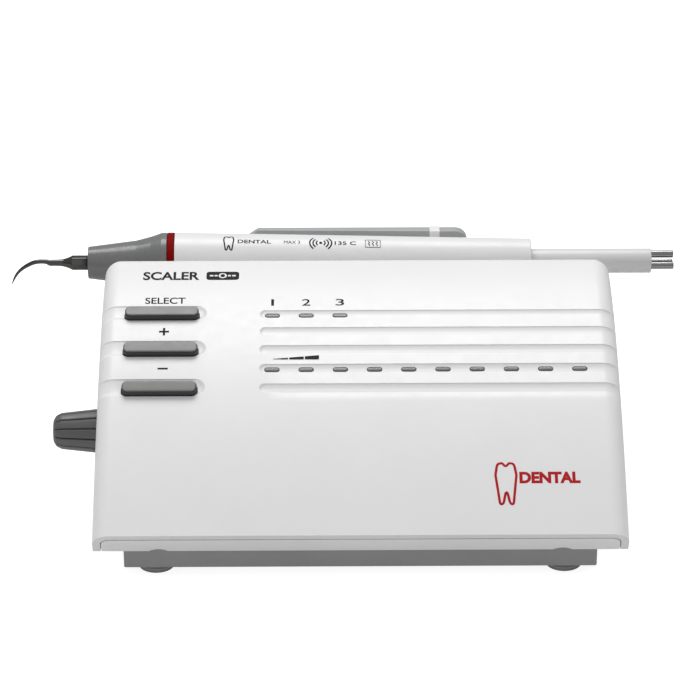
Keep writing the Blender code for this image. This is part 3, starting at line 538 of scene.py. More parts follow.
def scoop_depth(s, u):
    """Hollows around the buttons: round at the right, running out over the left edge."""
    start = BUTTON_S - SCOOP_LEAD
    i = floor((s - start) / BUTTON_PITCH)
    a = s - start - i * BUTTON_PITCH
    if not 0 <= i < 3 or not 0.0 < a < SCOOP_WIDE:
        return 0.0
    fade = smooth(-HALF_WIDTH - 2.0, -HALF_WIDTH + 4.0, u)
    out = 1 - smooth(SCOOP_WIDE * 0.72, SCOOP_WIDE, a)
    return hollow(a, SCOOP_WIDE, SCOOP_DEEP) * out * round_end(a, SCOOP_WIDE, SCOOP_END - u, 2.0) * fade


def relief(s, u):
    """Depth under the plain panel: scoops at the left, grooves at the right."""
    if s is None:
        return 0.0
    return groove_depth(s, u) if u > -45 else scoop_depth(s, u)


def width_stations(arcs=12):
    """(x, inset, turn, unrolled x, deeper) across the case from left to right."""
    flat_end, side = HALF_WIDTH - SIDE_ROUND, []
    for k in range(arcs + 1):
        a = pi / 2 * k / arcs
        side.append((flat_end + SIDE_ROUND * sin(a), SIDE_ROUND * (1 - cos(a)), a,
                     flat_end + SIDE_ROUND * a))
    deeper = [(HALF_WIDTH, SIDE_ROUND, pi / 2, side[-1][3] + d, d) for d in (1.0, 2.2, 4.0)]
    right = [(*p, 0.0) for p in side] + deeper
    left = [(-x, inset, -turn, -u, d) for x, inset, turn, u, d in reversed(right)]
    tip = (-0.3, 0.0, 0.08, 0.16, 0.26, 0.4, 0.55, 0.75, 1.0, 1.3, 1.7, 2.1)
    marks = {SCOOP_END - d for d in tip + (2.6, 3.1, 3.6)} | {GROOVE_X + d for d in tip + (2.5, 2.9)}
    marks |= {flat_end - d for d in (0.6, 1.3, 2.0)}
    marks |= {-flat_end + k * 3.0 for k in range(1, int(2 * flat_end / 3.0))}
    marks = sorted(m for m in marks if abs(m) < flat_end - 0.2)
    kept = [m for i, m in enumerate(marks) if i == 0 or m - marks[i - 1] > 0.04]
    return left + [(x, 0.0, 0.0, x, 0.0) for x in kept] + right


def cover_rings(wall):
    """Rings across the width: the outer skin with its relief or, a wall further in, the plain inner one."""
    samples = panel_samples()
    rings = []
    for x, inset, turn, u, deeper in width_stations():
        inside = inset + wall * cos(turn)
        ring = []
        for y, z, s in outline(inside, samples, deeper):
            d = 0.0 if wall else relief(s, u)
            if d:
                a = slope(s)
                y += d * cos(turn) * sin(a)
                z -= d * cos(turn) * cos(a)
            ring.append((x - (wall + d) * sin(turn), y, z))
        rings.append(ring)
    return rings


def slots():
    """Solids that cut the button and window openings."""
    solids = []
    for i in range(3):
        shape = rounded_slot(BUTTON_LONG + 2 * GAP, BUTTON_WIDE + 2 * GAP, BUTTON_CORNER + GAP)
        solids.append(slot_solid(BUTTON_S + i * BUTTON_PITCH, BUTTON_X, shape))
    for _, s, count in light_rows():
        for k in range(count):
            shape = stadium(LED_LONG + GAP, LED_WIDE + GAP)
            solids.append(slot_solid(s, LED_X + k * LED_PITCH, shape))
    return merge(*solids)


def slot_solid(s, x, shape):
    """Prism that passes square through the panel."""
    return loft([[(x + u, *square_point(s, v, height)) for u, v in shape] for height in (-6.0, 3.0)])


def light_rows():
    """(CAD node, arc length, number of windows) of each row of lights."""
    return (("mode_light_lens", GROOVE_S + LED_INSET, 3),
            ("power_light_lens", GROOVE_S + 3 * GROOVE_PITCH + LED_INSET, 10))


def build_cover():
    """Shell of two skins and their flat sides, open below and, for the tray's lip, in front."""
    skins = [cover_rings(0.0), cover_rings(WALL)]
    count, n = len(skins[0]), len(skins[0][0])
    verts = [p for rings in skins for ring in rings for p in ring]
    inner = count * n
    faces = []
    for base in (0, inner):
        for k in range(count - 1):
            for i in range(1, n - 1):
                j = base + k * n + i
                faces.append([j, j + 1, j + n + 1, j + n])
        for k in (0, count - 1):
            faces.append([base + k * n + i for i in range(n)])
    for k in range(count - 1):
        for i in (1, n - 1):
            faces.append([k * n + i, (k + 1) * n + i, inner + (k + 1) * n + i, inner + k * n + i])
    for k in (0, (count - 1) * n):
        faces.append([k, k + n - 1, inner + k + n - 1, inner + k])
        faces.append([k, k + 1, inner + k + 1, inner + k])
    ob = piece("cover_shell", verts, faces, "cover", "console", ["top_cover"], "cover_white")
    cut_with(ob, *slots())
    hole = [(-HALF_WIDTH - 3, SPINDLE_HOLE_R), (-HALF_WIDTH + 6, SPINDLE_HOLE_R)]
    cut_with(ob, *turned(hole, (0, KNOB_Y, KNOB_Z), "X", 48))
    cut_with(ob, *box_solid((-REAR_WINDOW_HALF, REAR_WINDOW_HALF), (REAR_Y - 6, REAR_Y + 2),
                            (REAR_WINDOW_LOW, REAR_WINDOW_HIGH)))
    soften(ob, 0.3, 3, 62.0)
    dress(ob, "cover", None, sharp=48.0)
    # painted shade along the cover's mouth edge
    paint_mouth_shade(ob)


def paint_mouth_shade(ob):
    """Painted shade on the cut edge of the cover along the tray's lip: a darker grey than the panel above
    it.
    """
    ob.data.materials.append(MATS["painted_mouth_shade"])
    (front_y, front_z), (ridge_y, ridge_z) = panel_point(PANEL_LENGTH), panel_point(0.0)
    down = Vector((0.0, front_y - ridge_y, front_z - ridge_z)).normalized()
    for face in ob.data.polygons:
        if face.normal.dot(down) > 0.97 and face.center.z < (FRONT_EDGE_Z + 1.0) * MM:
            face.material_index = 1


# ---- tray, base and feet ----
def build_tray():
    """Light grey inner shell: its front lip fills the cover's mouth, over two arched notches."""
    inset0, side = WALL + GAP + 0.2, HALF_WIDTH - WALL - LIP_SIDE_GAP
    samples = [PANEL_LENGTH * k / 60 for k in range(61)]
    half, arcs = [], 10
    for k in range(arcs + 1):
        a = pi / 2 * k / arcs
        inset = inset0 + LIP_ROUND * (1 - cos(a))
        half.append((side - LIP_ROUND * (1 - sin(a)), [(y, z) for y, z, _ in outline(inset, samples)]))
    half = [(-x, ring) for x, ring in half[::-1]] + half
    rings = [[(x, y, z) for y, z in ring] for x, ring in half]
    ob = piece("case_tray", *loft(rings), "shell", "console", ["lower_shell"], "shell_grey")
    front = LIP_Y + WALL
    cut_with(ob, *box_solid((-90, 90), (front + 2.5, REAR_Y + 5), (TRAY_TOP, 90)))
    bottom = CASE_BOTTOM + TRAY_FLOOR
    section = [(front + 0.2, bottom), (front - 4.6, FRONT_EDGE_Z + 2.0), (front - 2.6, 30),
               (REAR_Y - 6, 30), (REAR_Y - 6, bottom)]
    wide = HALF_WIDTH - 2 * WALL - 1
    cut_with(ob, *loft([[(x, y, z) for y, z in section] for x in (-wide, wide)]))
    for x in (-NOTCH_X, NOTCH_X):
        cut_with(ob, *turned([(-2, NOTCH_R), (BASE_FRONT + 2, NOTCH_R)], (x, 0, NOTCH_Z), "Y", 96))
    soften(ob, 0.3, 3, 50.0)


def build_base():
    """Dark base pan, its front and rear drawn in a little towards the table."""
    top, rear = CASE_BOTTOM - GAP, REAR_Y - BASE_REAR_INSET
    corners = [(-BASE_HALF, BASE_FRONT), (BASE_HALF, BASE_FRONT), (BASE_HALF, rear), (-BASE_HALF, rear)]
    low = [(x, y + (BASE_DRAFT if y < rear else -BASE_DRAFT)) for x, y in corners]
    rings = []
    for shape, z in ((low, BASE_Z), (corners, top)):
        rings.append([(x, y, z) for x, y in fillet(shape, BASE_CORNER, 6)])
    ob = piece("base_pan", *loft(rings), "base", "console", ["base_plate"], "base_grey")
    inside = BASE_HALF - BASE_WALL
    cut_with(ob, *box_solid((-inside, inside), (BASE_FRONT + BASE_WALL, rear - BASE_WALL),
                            (BASE_Z + BASE_WALL, top + 1)))
    soften(ob, 0.18, 3, 50.0)


def build_feet():
    """Rubber pads with a thin light band round their waist."""
    top = BASE_Z - 0.1
    pad = fillet([(0.0, 0.01), (0.0, FOOT_R - 0.35), (1.0, FOOT_R - 0.15), (top, FOOT_R - 0.1), (top, 2.0),
                  (BASE_Z + 2.6, 2.0), (BASE_Z + 2.8, 2.9), (BASE_Z + 4.6, 1.6)],
                 [0, 0.2, 0.2, 0.05, 0, 0, 0, 0], 5, closed=False)
    band = closed(fillet([(1.2, FOOT_R - 0.4), (1.2, FOOT_R), (1.5, FOOT_R), (1.5, FOOT_R - 0.4)],
                         [0.02, 0.12, 0.12, 0.02], 4))
    front, rear = BASE_FRONT + FOOT_INSET, REAR_Y - BASE_REAR_INSET - FOOT_INSET
    places = {"front_left_foot": (-FOOT_X, front), "front_right_foot": (FOOT_X, front),
              "rear_left_foot": (-FOOT_X, rear), "rear_right_foot": (FOOT_X, rear)}
    for node, (x, y) in places.items():
        piece(node.replace("foot", "rubber_pad"), *turned(pad, (x, y, 0), "Z", 72), "rubber",
              "console", [node], "rubber_black")
        piece(node.replace("foot", "foot_band"), *turned(band, (x, y, 0), "Z", 72), "foot_band",
              "console")


# ---- buttons, windows and print ----
def build_buttons():
    """Grey key caps with crisp top edges, each on a wider near-black skirt: partly the dark plastic of the
    button, partly painted shade for its shaded sides.
    """
    for i, node in enumerate(("mode_button", "plus_button", "minus_button")):
        s = BUTTON_S + i * BUTTON_PITCH
        top = BUTTON_PROUD
        cap = [(0.45, top - 0.7), (0.34, top - 0.4), (0.30, top - 0.24), (0.32, top - 0.14),
               (0.40, top - 0.06), (0.55, top - 0.02), (0.9, top)]
        skirt = [(0.0, -3.6), (0.0, top - 1.0), (0.04, top - 0.75), (0.14, top - 0.55), (0.32, top - 0.45),
                 (0.6, top - 0.42)]
        mat = "button_warm" if i == 2 else "button"
        piece(node.replace("button", "key_cap"), *key_solid(s, cap), mat, node, [node], "button_grey",
              sharp=40)
        # skirt: partly painted shade for the button's side
        piece(node.replace("button", "key_skirt"), *key_solid(s, skirt), "skirt", node, sharp=50)


def key_solid(s, levels):
    """Rounded slot shape stacked up through (shrink, height) levels."""
    rings = []
    for shrink, height in levels:
        corner = BUTTON_CORNER - min(shrink, 1.4)
        shape = rounded_slot(BUTTON_LONG - 2 * shrink, BUTTON_WIDE - 2 * shrink, corner)
        rings.append([(BUTTON_X + u, *square_point(s, v, height)) for u, v in shape])
    return loft(rings)


def build_windows():
    """Light pipe windows: shallow domed lozenges, each row on its own strip."""
    for node, s, count in light_rows():
        solids = []
        for k in range(count):
            rings = []
            for trim, height in ((0, -3.0), (0, -0.62), (0.14, -0.52), (0.4, -0.47), (0.9, -0.45)):
                rings.append([(LED_X + k * LED_PITCH + u, *square_point(s, v, height))
                              for u, v in stadium(LED_LONG - trim, LED_WIDE - trim, 12)])
            solids.append(loft(rings))
        last = LED_X + (count - 1) * LED_PITCH
        edge = ((-2.2, -4.4), (2.2, -4.4), (2.2, -3.05), (-2.2, -3.05))
        solids.append(loft([[(x, *square_point(s, v, h)) for v, h in edge] for x in (LED_X - 5, last + 5)]))
        piece(node.replace("lens", "pipe"), *merge(*solids), "lens", "console", [node], "lens_grey",
              sharp=60)


def text_mesh(text, wide, tall, bold=0.0):
    """Flat glyph mesh of a given width and capital height, centred at the origin; (points, faces)."""
    curve = bpy.data.curves.new("glyphs", "FONT")
    curve.body, curve.size, curve.offset, curve.resolution_u = text, 1.0, bold, 6
    holder = add_object("glyphs", curve)
    bpy.context.view_layer.update()
    mesh = bpy.data.meshes.new_from_object(holder.evaluated_get(bpy.context.evaluated_depsgraph_get()))
    xs, ys = [v.co.x for v in mesh.vertices], [v.co.y for v in mesh.vertices]
    middle = Vector(((min(xs) + max(xs)) / 2, (min(ys) + max(ys)) / 2))
    sx, sy = wide / (max(xs) - min(xs)), tall / (max(ys) - min(ys))
    points = [((v.co.x - middle.x) * sx, (v.co.y - middle.y) * sy) for v in mesh.vertices]
    faces = [list(p.vertices) for p in mesh.polygons]
    bpy.data.objects.remove(holder, do_unlink=True)
    bpy.data.meshes.remove(mesh)
    return points, faces


def flat(shape):
    """Filled flat outline as (points, faces)."""
    return shape, [list(range(len(shape)))]


def stroke(points, width, closed=False):
    """Flat ribbon of even width along a path, as (points, faces)."""
    path = [Vector(p) for p in points]
    n = len(path)
    left, right = [], []
    for i, p in enumerate(path):
        before = path[i - 1] if (closed or i) else p
        after = path[(i + 1) % n] if (closed or i < n - 1) else p
        way = (after - before).normalized()
        side = Vector((-way.y, way.x)) * width / 2
        left.append(tuple(p + side))
        right.append(tuple(p - side))
    faces = [[i, (i + 1) % n, n + (i + 1) % n, n + i] for i in range(n if closed else n - 1)]
    return left + right, faces


def lay(name, shape, place, mat, body, step):
    """Lay flat shapes on a surface, cut into strips so that they follow its curve."""
    points, faces = shape
    mesh = bpy.data.meshes.new(name)
    mesh.from_pydata([(u, v, 0.0) for u, v in points], [], faces)
    bm = bmesh.new()
    bm.from_mesh(mesh)
    bpy.data.meshes.remove(mesh)
    low, high = min(v for _, v in points), max(v for _, v in points)
    for k in range(1, ceil((high - low) / step)):
        geometry = bm.verts[:] + bm.edges[:] + bm.faces[:]
        bmesh.ops.bisect_plane(bm, geom=geometry, plane_co=(0, low + k * step, 0), plane_no=(0, 1, 0))
    bm.verts.index_update()
    verts = [place(v.co.x, v.co.y) for v in bm.verts]
    cut_faces = [[v.index for v in face.verts] for face in bm.faces]
    bm.free()
    piece(name, verts, cut_faces, mat, body, sharp=0, recalc=False)


def on_panel(name, shape, x, s, mat, lift=0.03):
    """Print flat shapes on the panel, centred at x, with their y axis pointing at the ridge."""
    def place(u, v):
        return (x + u, *panel_point(s - v, lift))

    lay(name, shape, place, mat, "console", 3.0)


def on_barrel(name, shape, x, turn, mat, lift=0.04):
    """Print flat shapes round the handpiece barrel, centred at x and the angle turn."""
    def place(u, v):
        r = barrel_radius(x + u) + lift
        a = turn + v / r
        return (x + u, HAND_Y - r * cos(a), HAND_Z + r * sin(a))

    lay(name, shape, place, mat, "handpiece", 0.5)


def barrel_radius(x):
    """Radius of the tapered barrel at x."""
    return RING_R + (BODY_END_R - RING_R) * (x - BODY_X) / (TAIL_X - BODY_X)


def tooth_outline(wide, tall):
    """Plain molar outline: a two-cusped crown over two roots."""
    right = [(0.16, 0.52), (0.40, 0.5), (0.5, 0.22), (0.42, -0.10), (0.32, -0.52), (0.16, -0.50)]
    left = [(-x, y) for x, y in reversed(right)]
    corners = left[3:] + [(0.0, 0.42)] + right + [(0.0, -0.12)] + left[:3]
    return [(x * wide, y * tall) for x, y in fillet(corners, 0.14, 6)]


def slab(x0, x1, y0, y1):
    return flat([(x0, y0), (x1, y0), (x1, y1), (x0, y1)])


def build_panel_print():
    """Title with its badge, legends by the buttons and lights, and a dental emblem."""
    on_panel("title_print", text_mesh("SCALER", 18.6, 5.0, 0.028), -61.6, 8.5, "ink")
    build_badge(-44.6, 8.5)
    on_panel("select_print", text_mesh("SELECT", 13.2, 3.2, 0.014), -63.1, 22.3, "ink")
    arms = [slab(-0.36, 0.36, 0.4, 1.7), slab(-0.36, 0.36, -1.7, -0.4)]
    on_panel("plus_print", merge(slab(-1.6, 1.6, -0.4, 0.4), *arms), -63.1, 37.2, "ink")
    on_panel("minus_print", slab(-1.65, 1.65, -0.36, 0.36), -63.1, 53.2, "ink")
    for k, (digit, wide) in enumerate((("1", 0.9), ("2", 2.8), ("3", 2.8))):
        x = LED_X + k * LED_PITCH
        on_panel("digit_print_" + digit, text_mesh(digit, wide, 3.3, 0.008), x, 23.4, "ink")
    on_panel("ramp_print", ramp_bars(), -20.3, 48.7, "ink")
    on_panel("emblem_print", stroke(tooth_outline(6.6, 14.4), 0.8, closed=True), 45.8, 97.9, "ink_red")
    on_panel("word_print", text_mesh("DENTAL", 19.2, 4.2, 0.05), 59.6, 95.7, "ink_red")


def build_badge(middle, s):
    """Dark round-cornered label with a pale lamp sign between short rays."""
    label = fillet([(-5.4, -2.5), (5.4, -2.5), (5.4, 2.5), (-5.4, 2.5)], 1.3, 6)
    on_panel("badge_print", flat(label), middle, s, "ink")
    rim = [(1.05 * x, 1.25 * y) for x, y in arc(0, 0, 1, 0, 2 * pi, 24)[:-1]]
    rays = [slab(x0, x1, -0.45, 0.45) for x0, x1 in ((-4.3, -3.1), (-2.7, -1.7), (1.7, 2.7), (3.1, 4.3))]
    on_panel("badge_lamp_print", merge(stroke(rim, 0.6, closed=True), *rays), middle, s, "ink_pale", 0.06)


def ramp_bars():
    """Three bars in a row that grow taller to the right."""
    half, low, rise = 7.4, -0.75, 1.5
    bars = []
    for x0, x1 in ((-half, -2.6), (-2.2, 2.5), (2.9, half)):
        top0, top1 = (low + 0.15 + rise * (x + half) / (2 * half) for x in (x0, x1))
        bars.append(flat([(x0, low), (x1, low), (x1, top1), (x0, top0)]))
    return merge(*bars)


def build_barrel_print():
    """Small generic marks on the barrel: a tooth, sound waves and the sign for steam sterilising."""
    turn = radians(69)
    tooth = stroke(tooth_outline(3.4, 6.0), 0.45, closed=True)
    on_barrel("barrel_emblem_print", tooth, -43.2, turn - 0.03, "ink")
    on_barrel("barrel_word_print", text_mesh("DENTAL", 11.2, 1.7, 0.02), -34.6, turn + 0.03, "ink")
    on_barrel("barrel_range_print", text_mesh("MAX 3", 5.4, 1.5), -21.9, turn + 0.02, "ink")
    on_barrel("barrel_wave_print", sound_waves(), -12.2, turn, "ink")
    on_barrel("barrel_heat_print", text_mesh("135 C", 7.2, 1.7, 0.02), -3.9, turn, "ink")
    on_barrel("steam_print", steam_sign(), 5.4, turn, "ink")


def sound_waves():
    """A dot with three arcs on either side."""
    shapes, half = [flat(arc(0, 0, 0.55, 0, 2 * pi, 16)[:-1])], radians(48)
    for side in (0.0, pi):
        for r in (1.5, 2.6, 3.7):
            shapes.append(stroke([(x, 0.9 * y) for x, y in arc(0, 0, r, side - half, 2 * half, 10)], 0.5))
    return merge(*shapes)


def steam_sign():
    """Three rising wavy lines in a frame."""
    window = stroke([(-2.5, -1.7), (2.5, -1.7), (2.5, 1.7), (-2.5, 1.7)], 0.3, closed=True)
    lines = []
    for x in (-1.3, 0.0, 1.3):
        lines.append(stroke([(x + 0.3 * sin(k * 1.1), -1.1 + k * 0.22) for k in range(11)], 0.3))
    return merge(window, *lines)


# ---- knob ----
def build_knob():
    """Tapered knob with twelve narrow flutes that run its whole length."""
    out = -HALF_WIDTH - GAP
    end = out - KNOB_LONG

    def flutes(along, angle):
        depth = FLUTE_DEPTH * smooth(-0.6, 0.8, along - end)
        return 1.0 - depth * max(0.0, cos(FLUTES * (angle + FLUTE_TURN))) ** FLUTE_SHARPNESS

    profile = fillet([(out, 3.4), (out, KNOB_R), (end + 2.6, KNOB_R - 1.25), (end + 0.9, KNOB_R - 2.1),
                      (end, KNOB_R - 3.6), (end, 0.01)],
                     [0, 0.15, 2.2, 1.0, 0.9, 0], 10, closed=False)
    piece("flow_knob", *turned(dense(profile, 0.9), (0, KNOB_Y, KNOB_Z), "X", 432, flutes), "knob",
          "water_control", ["water_knob"], "knob_grey", sharp=50)


# ---- handpiece ----
def hand_piece(name, profile, mat, node, slot, steps=128):
    """Piece turned about the handpiece's own axis."""
    piece(name, *turned(profile, (0, HAND_Y, HAND_Z), "X", steps), mat, "handpiece", [node], slot)


def build_handpiece():
    """Tapered barrel, red ring, hollow nose cone and plug tail."""
    bore = RING_R - HAND_WALL
    barrel = fillet([(BODY_X, bore), (BODY_X, RING_R), (TAIL_X, BODY_END_R), (TAIL_X, TAIL_R + GAP),
                     (TAIL_X - 8, TAIL_R + GAP), (TAIL_X - 8, BODY_END_R - HAND_WALL)],
                    [0.05, 0.22, 0.5, 0.2, 0.05, 0.05], 6)
    hand_piece("barrel", barrel + [(BODY_X, bore)], "barrel", "handpiece_body", "cover_white")
    start, end = RING_X + 0.1, BODY_X - GAP + 0.1
    ring = fillet([(start, bore), (start, RING_R), (end, RING_R), (end, bore)], [0.05, 0.15, 0.15, 0.05], 4)
    hand_piece("red_ring", closed(ring), "red", "accent_ring", "accent_red")
    back = RING_X - 0.1
    nose = fillet([(NOSE_X, 2.9), (NOSE_X, 5.4), (-74.6, 7.46), (-69.5, 8.8), (-65.9, RING_R - 0.05),
                   (back, RING_R), (back, 8.3), (-72.0, 5.4), (-86.0, 3.9), (-86.0, 2.9)],
                  [0.1, 0.25, 8.0, 4.0, 1.2, 0.15, 0.05, 0, 0, 0], 7)
    hand_piece("nose", closed(nose), "nose", "nose_cone", "nose_grey")
    tail = fillet([(TAIL_X - 7, 0.01), (TAIL_X - 7, TAIL_R), (TAIL_END, TAIL_R), (TAIL_END, 0.01)],
                  [0, 0.1, 0.3, 0], 6, closed=False)
    hand_piece("tail_stem", tail, "tail", "tail_plug", "shell_grey", 96)
    build_pins()


def build_pins():
    """Three contact pins in the end of the tail, each with a thin dark seal round its foot."""
    pin = fillet([(TAIL_END - 0.4, PIN_R), (PIN_END, PIN_R), (PIN_END, 0.01)], [0, 0.35, 0], 6, closed=False)
    seal = closed([(TAIL_END - 0.2, PIN_R), (TAIL_END + 0.12, PIN_R), (TAIL_END + 0.12, PIN_R + 0.15),
                   (TAIL_END - 0.2, PIN_R + 0.15)])
    for k, node in enumerate(("upper_contact_pin", "rear_contact_pin", "front_contact_pin")):
        a = radians(PIN_TURN - 120 * k)
        at = (0, HAND_Y + PIN_SPREAD * cos(a), HAND_Z + PIN_SPREAD * sin(a))
        piece(node.replace("contact_pin", "pin"), *turned(pin, at, "X", 48), "pin", "handpiece",
              [node], "steel", sharp=40)
        piece(node.replace("contact_pin", "pin_seal"), *turned(seal, at, "X", 48), "black", "handpiece")


def closed(points):
    """The same profile ending where it starts, which turned() reads as a ring."""
    return list(points) + [points[0]]


# The point as (x, rise over the handpiece's axis, radius), from its shank to its end.
HOOK = ((-102.2, 0.0, 1.08), (-103.9, 0.0, 1.05), (-105.2, 0.4, 0.8), (-107.6, 0.46, 0.75),
        (-109.5, 0.08, 0.73), (-111.5, -0.85, 0.68), (-113.3, -2.05, 0.6), (-114.8, -3.5, 0.5),
        (-116.1, -5.45, 0.38), (TIP_X + 0.1, -7.85, 0.12))
# The cone behind it as (x, radius).
TIP_CONE = ((-97.0, 2.12), (-97.8, 1.8), (-98.4, 1.58), (-98.9, 1.42), (-99.5, 1.26), (-100.2, 1.16),
            (-101.2, 1.1))


def spline(points, per=8):
    """Catmull-Rom through tuples of numbers."""
    out = []
    for i in range(len(points) - 1):
        p = [points[max(i - 1, 0)], points[i], points[i + 1], points[min(i + 2, len(points) - 1)]]
        for k in range(per):
            t = k / per
            out.append(tuple(0.5 * (2 * b + (c - a) * t + (2 * a - 5 * b + 4 * c - d) * t * t
                                    + (3 * b - a - 3 * c + d) * t ** 3) for a, b, c, d in zip(*p)))
    return out + [tuple(points[-1])]


def tip_ring(x, radius, six_sided=False, rise=0.0, way=(1, 0), steps=72):
    """Ring of points round the tip; six_sided flattens it into a hexagon with softened corners."""
    loop, seg = [], pi / 3
    for k in range(steps):
        a = 2 * pi * k / steps
        r = radius
        if six_sided:
            r = min(radius * cos(seg / 2) / cos(a % seg - seg / 2), 0.955 * radius)
        across, up = r * cos(a), r * sin(a)
        loop.append((x - way[1] * up, HAND_Y + across, HAND_Z + rise + way[0] * up))
    return loop


def build_tip():
    """Six-sided root, cone, round shank and the thin curved point."""
    rings = [tip_ring(NOSE_X + 4.2, 1.9), tip_ring(NOSE_X + 0.3, 1.9)]
    for x, trim in ((NOSE_X + 0.25, 0.2), (NOSE_X - 0.1, 0), (HEX_X + 0.4, 0), (HEX_X + 0.1, 0.08)):
        rings.append(tip_ring(x, HEX_R - trim, six_sided=True))
    rings += [tip_ring(x, r) for x, r in TIP_CONE]
    path = spline(HOOK)
    for i, (x, rise, r) in enumerate(path):
        ahead, behind = path[min(i + 1, len(path) - 1)], path[max(i - 1, 0)]
        way = Vector((behind[0] - ahead[0], behind[1] - ahead[1])).normalized()
        rings.append(tip_ring(x, r, False, rise, way))
    # chrome: the tip's dark tone is a painted reflection of dark surroundings
    piece("hooked_tip", *loft(rings), "chrome", "handpiece", ["scaler_tip"], "steel", sharp=40)


# ---- holder ----
def holder_outside():
    """Y of the cradle's straight back."""
    return HAND_Y + barrel_radius(HOLDER_X0) + GAP + HOLDER_WALL


def clip_front():
    """Y of the strap's front face."""
    return HAND_Y + barrel_radius(CLIP_X0) + GAP


def holder_top(x):
    """Height of the back wall: a slanted corner on the left, a rounded one on the right."""
    from_left, from_right = x - HOLDER_X0, HOLDER_X1 - x
    if from_left < HOLDER_SLANT:
        return HOLDER_TOP - HOLDER_SLANT_DROP * (1 - from_left / HOLDER_SLANT)
    if from_right < HOLDER_ROUND_LONG:
        reach = HOLDER_ROUND * (1 - from_right / HOLDER_ROUND_LONG)
        return HOLDER_TOP - HOLDER_ROUND + sqrt(max(HOLDER_ROUND ** 2 - reach ** 2, 0.0))
    return HOLDER_TOP


def holder_section(x):
    """(y, z) outline across the cradle: straight back, flat base, and the bore's hollow."""
    outer, base = holder_outside(), TROUGH_Z + GAP
    reach = outer - HAND_Y
    top, bore = holder_top(x), barrel_radius(x) + GAP
    ring = [(outer, top - 0.35), (outer, base + 1.5), (outer - 1.5, base), (HAND_Y - reach * 0.72, base),
            (HAND_Y - reach * 0.95, HAND_Z - reach * 0.45)]
    ring += arc(HAND_Y, HAND_Z, bore, radians(200), radians(160), 24)
    inner = HAND_Y + bore
    return ring + [(inner, top - 0.35), (inner + 0.1, top - 0.1), (inner + 0.35, top),
                   (outer - 0.35, top), (outer - 0.1, top - 0.1)]


def build_holder():
    """Cradle whose bore follows the barrel's taper, with shaped corners on its back wall."""
    xs = [HOLDER_X0 + d for d in (0, 0.25, 0.6, 1.2, 2.0, 3.2)]
    xs += [HOLDER_X0 + 5 + k * 4.0 for k in range(17)]
    xs += [HOLDER_X1 - d for d in (4.2, 3.2, 2.2, 1.4, 0.8, 0.35, 0.1, 0)]
    rings = [[(x, y, z) for y, z in holder_section(x)] for x in sorted(xs)]
    ob = piece("cradle", *loft(rings), "holder", "console", ["handpiece_holder"], "holder_grey",
               sharp=40)
    across = (CLIP_X0 - CLIP_SIDE_GAP, CLIP_X1 + CLIP_SIDE_GAP)
    front = clip_front()
    cut_with(ob, *box_solid(across, (front - 2, front + CLIP_THICK + GAP), (CLIP_LOW - GAP, HOLDER_TOP + 1)))
    cut_with(ob, *box_solid(across, (front, holder_outside() + 1),
                            (HOLDER_TOP - CLIP_THICK - GAP, HOLDER_TOP + 1)))
    soften(ob, 0.2, 2, 60)
    dress(ob, "holder", None, sharp=40)


def build_strap():
    """Narrow white strap hooked over the back wall, with fine cross ribs on its face."""
    front, back = clip_front(), holder_outside() + GAP
    inside, top, low = front + CLIP_THICK, HOLDER_TOP - CLIP_THICK, HAND_Z - 4
    corners = [(front, CLIP_LOW), (front, top + CLIP_THICK), (back + CLIP_THICK, top + CLIP_THICK),
               (back + CLIP_THICK, low), (back, low), (back, top), (inside, top), (inside, CLIP_LOW)]
    section = fillet(corners, [0.25, 0.7, 0.7, 0.3, 0.2, 0.2, 0.2, 0.25], 6)
    steps, rib = 17, 0.1
    rings = []
    for k in range(steps):
        sink = 0.0 if k % 2 or k in (0, steps - 1) else rib
        x = CLIP_X0 + (CLIP_X1 - CLIP_X0) * k / (steps - 1)
        rings.append([(x, y + (sink if y < front + 0.1 else 0), z - (sink if z > HOLDER_TOP - 0.1 else 0))
                      for y, z in section])
    piece("strap", *loft(rings), "strap", "console", ["holder_clip"], "cover_white", sharp=50)


# ---- CAD nodes that keep their own shape ----
# Material of each node that keeps its CAD shape.
FINISHES = {
    "rear": "rear_panel",
    "steel": "left_case_screw right_case_screw valve_spindle solenoid_plunger footswitch_socket "
             "transducer_horn clamp_bolt back_mass",
    "black": "mode_switch plus_switch minus_switch filter_capacitor driver_module hose_gland "
             "power_socket power_switch_frame power_rocker",
    "board": "control_board main_board",
    "core": "transformer_core",
    "winding": "transformer_coil solenoid_coil",
    "aluminium": "heat_sink",
    "brass": "water_valve_body valve_nut solenoid_valve_body water_inlet",
    "tube": "supply_tube control_tube",
    "ceramic": "front_piezo_disc middle_piezo_disc rear_piezo_disc",
    "seal": "horn_seal",
    "lens": "lamp_ring",
}
SOFTENED = ("rear_panel", "power_switch_frame", "power_rocker", "heat_sink", "main_board")


def dress_nodes():
    """Materials for the nodes above, and soft edges for those of them that show."""
    for mat, names in FINISHES.items():
        for name in names.split():
            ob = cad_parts[name]
            dress(ob, mat, None)
            if name in SOFTENED:
                soften(ob, 0.25, 2, 60)


# ---- studio ----
WORLD_HORIZON, WORLD_ZENITH = 0.30, 0.55
FLOOR_GLOW, FLOOR_BOUNCE, FLOOR_BOUNCE_BEHIND = 0.85, 0.47, 0.12
OVERHEAD_PLACE, OVERHEAD_WIDE, OVERHEAD_DEEP, OVERHEAD_POWER = (-0.1, 0.5, 1.1), 0.9, 0.55, 9.0
FILL_PLACE, FILL_WIDE, FILL_DEEP, FILL_POWER = (-0.3, -1.3, 0.7), 0.9, 0.9, 0.85
LIT_POINT = (0.0, 0.0, 0.03)
CAMERA_LIFT, CAMERA_TURN, CAMERA_DISTANCE, CAMERA_LENS = radians(26.0), radians(0.508), 1.094, 177.2
CAMERA_TARGET = (-3.0, 45.0, 61.4)


def area_light(name, place, wide, deep, power):
    """Rectangular lamp that faces the object."""
    data = bpy.data.lights.new(name, "AREA")
    data.shape = "RECTANGLE"
    data.energy, data.size, data.size_y = power, wide, deep
    ob = add_object(name, data)
    ob.location = place
    ob.rotation_euler = (Vector(LIT_POINT) - ob.location).to_track_quat("-Z", "Y").to_euler()


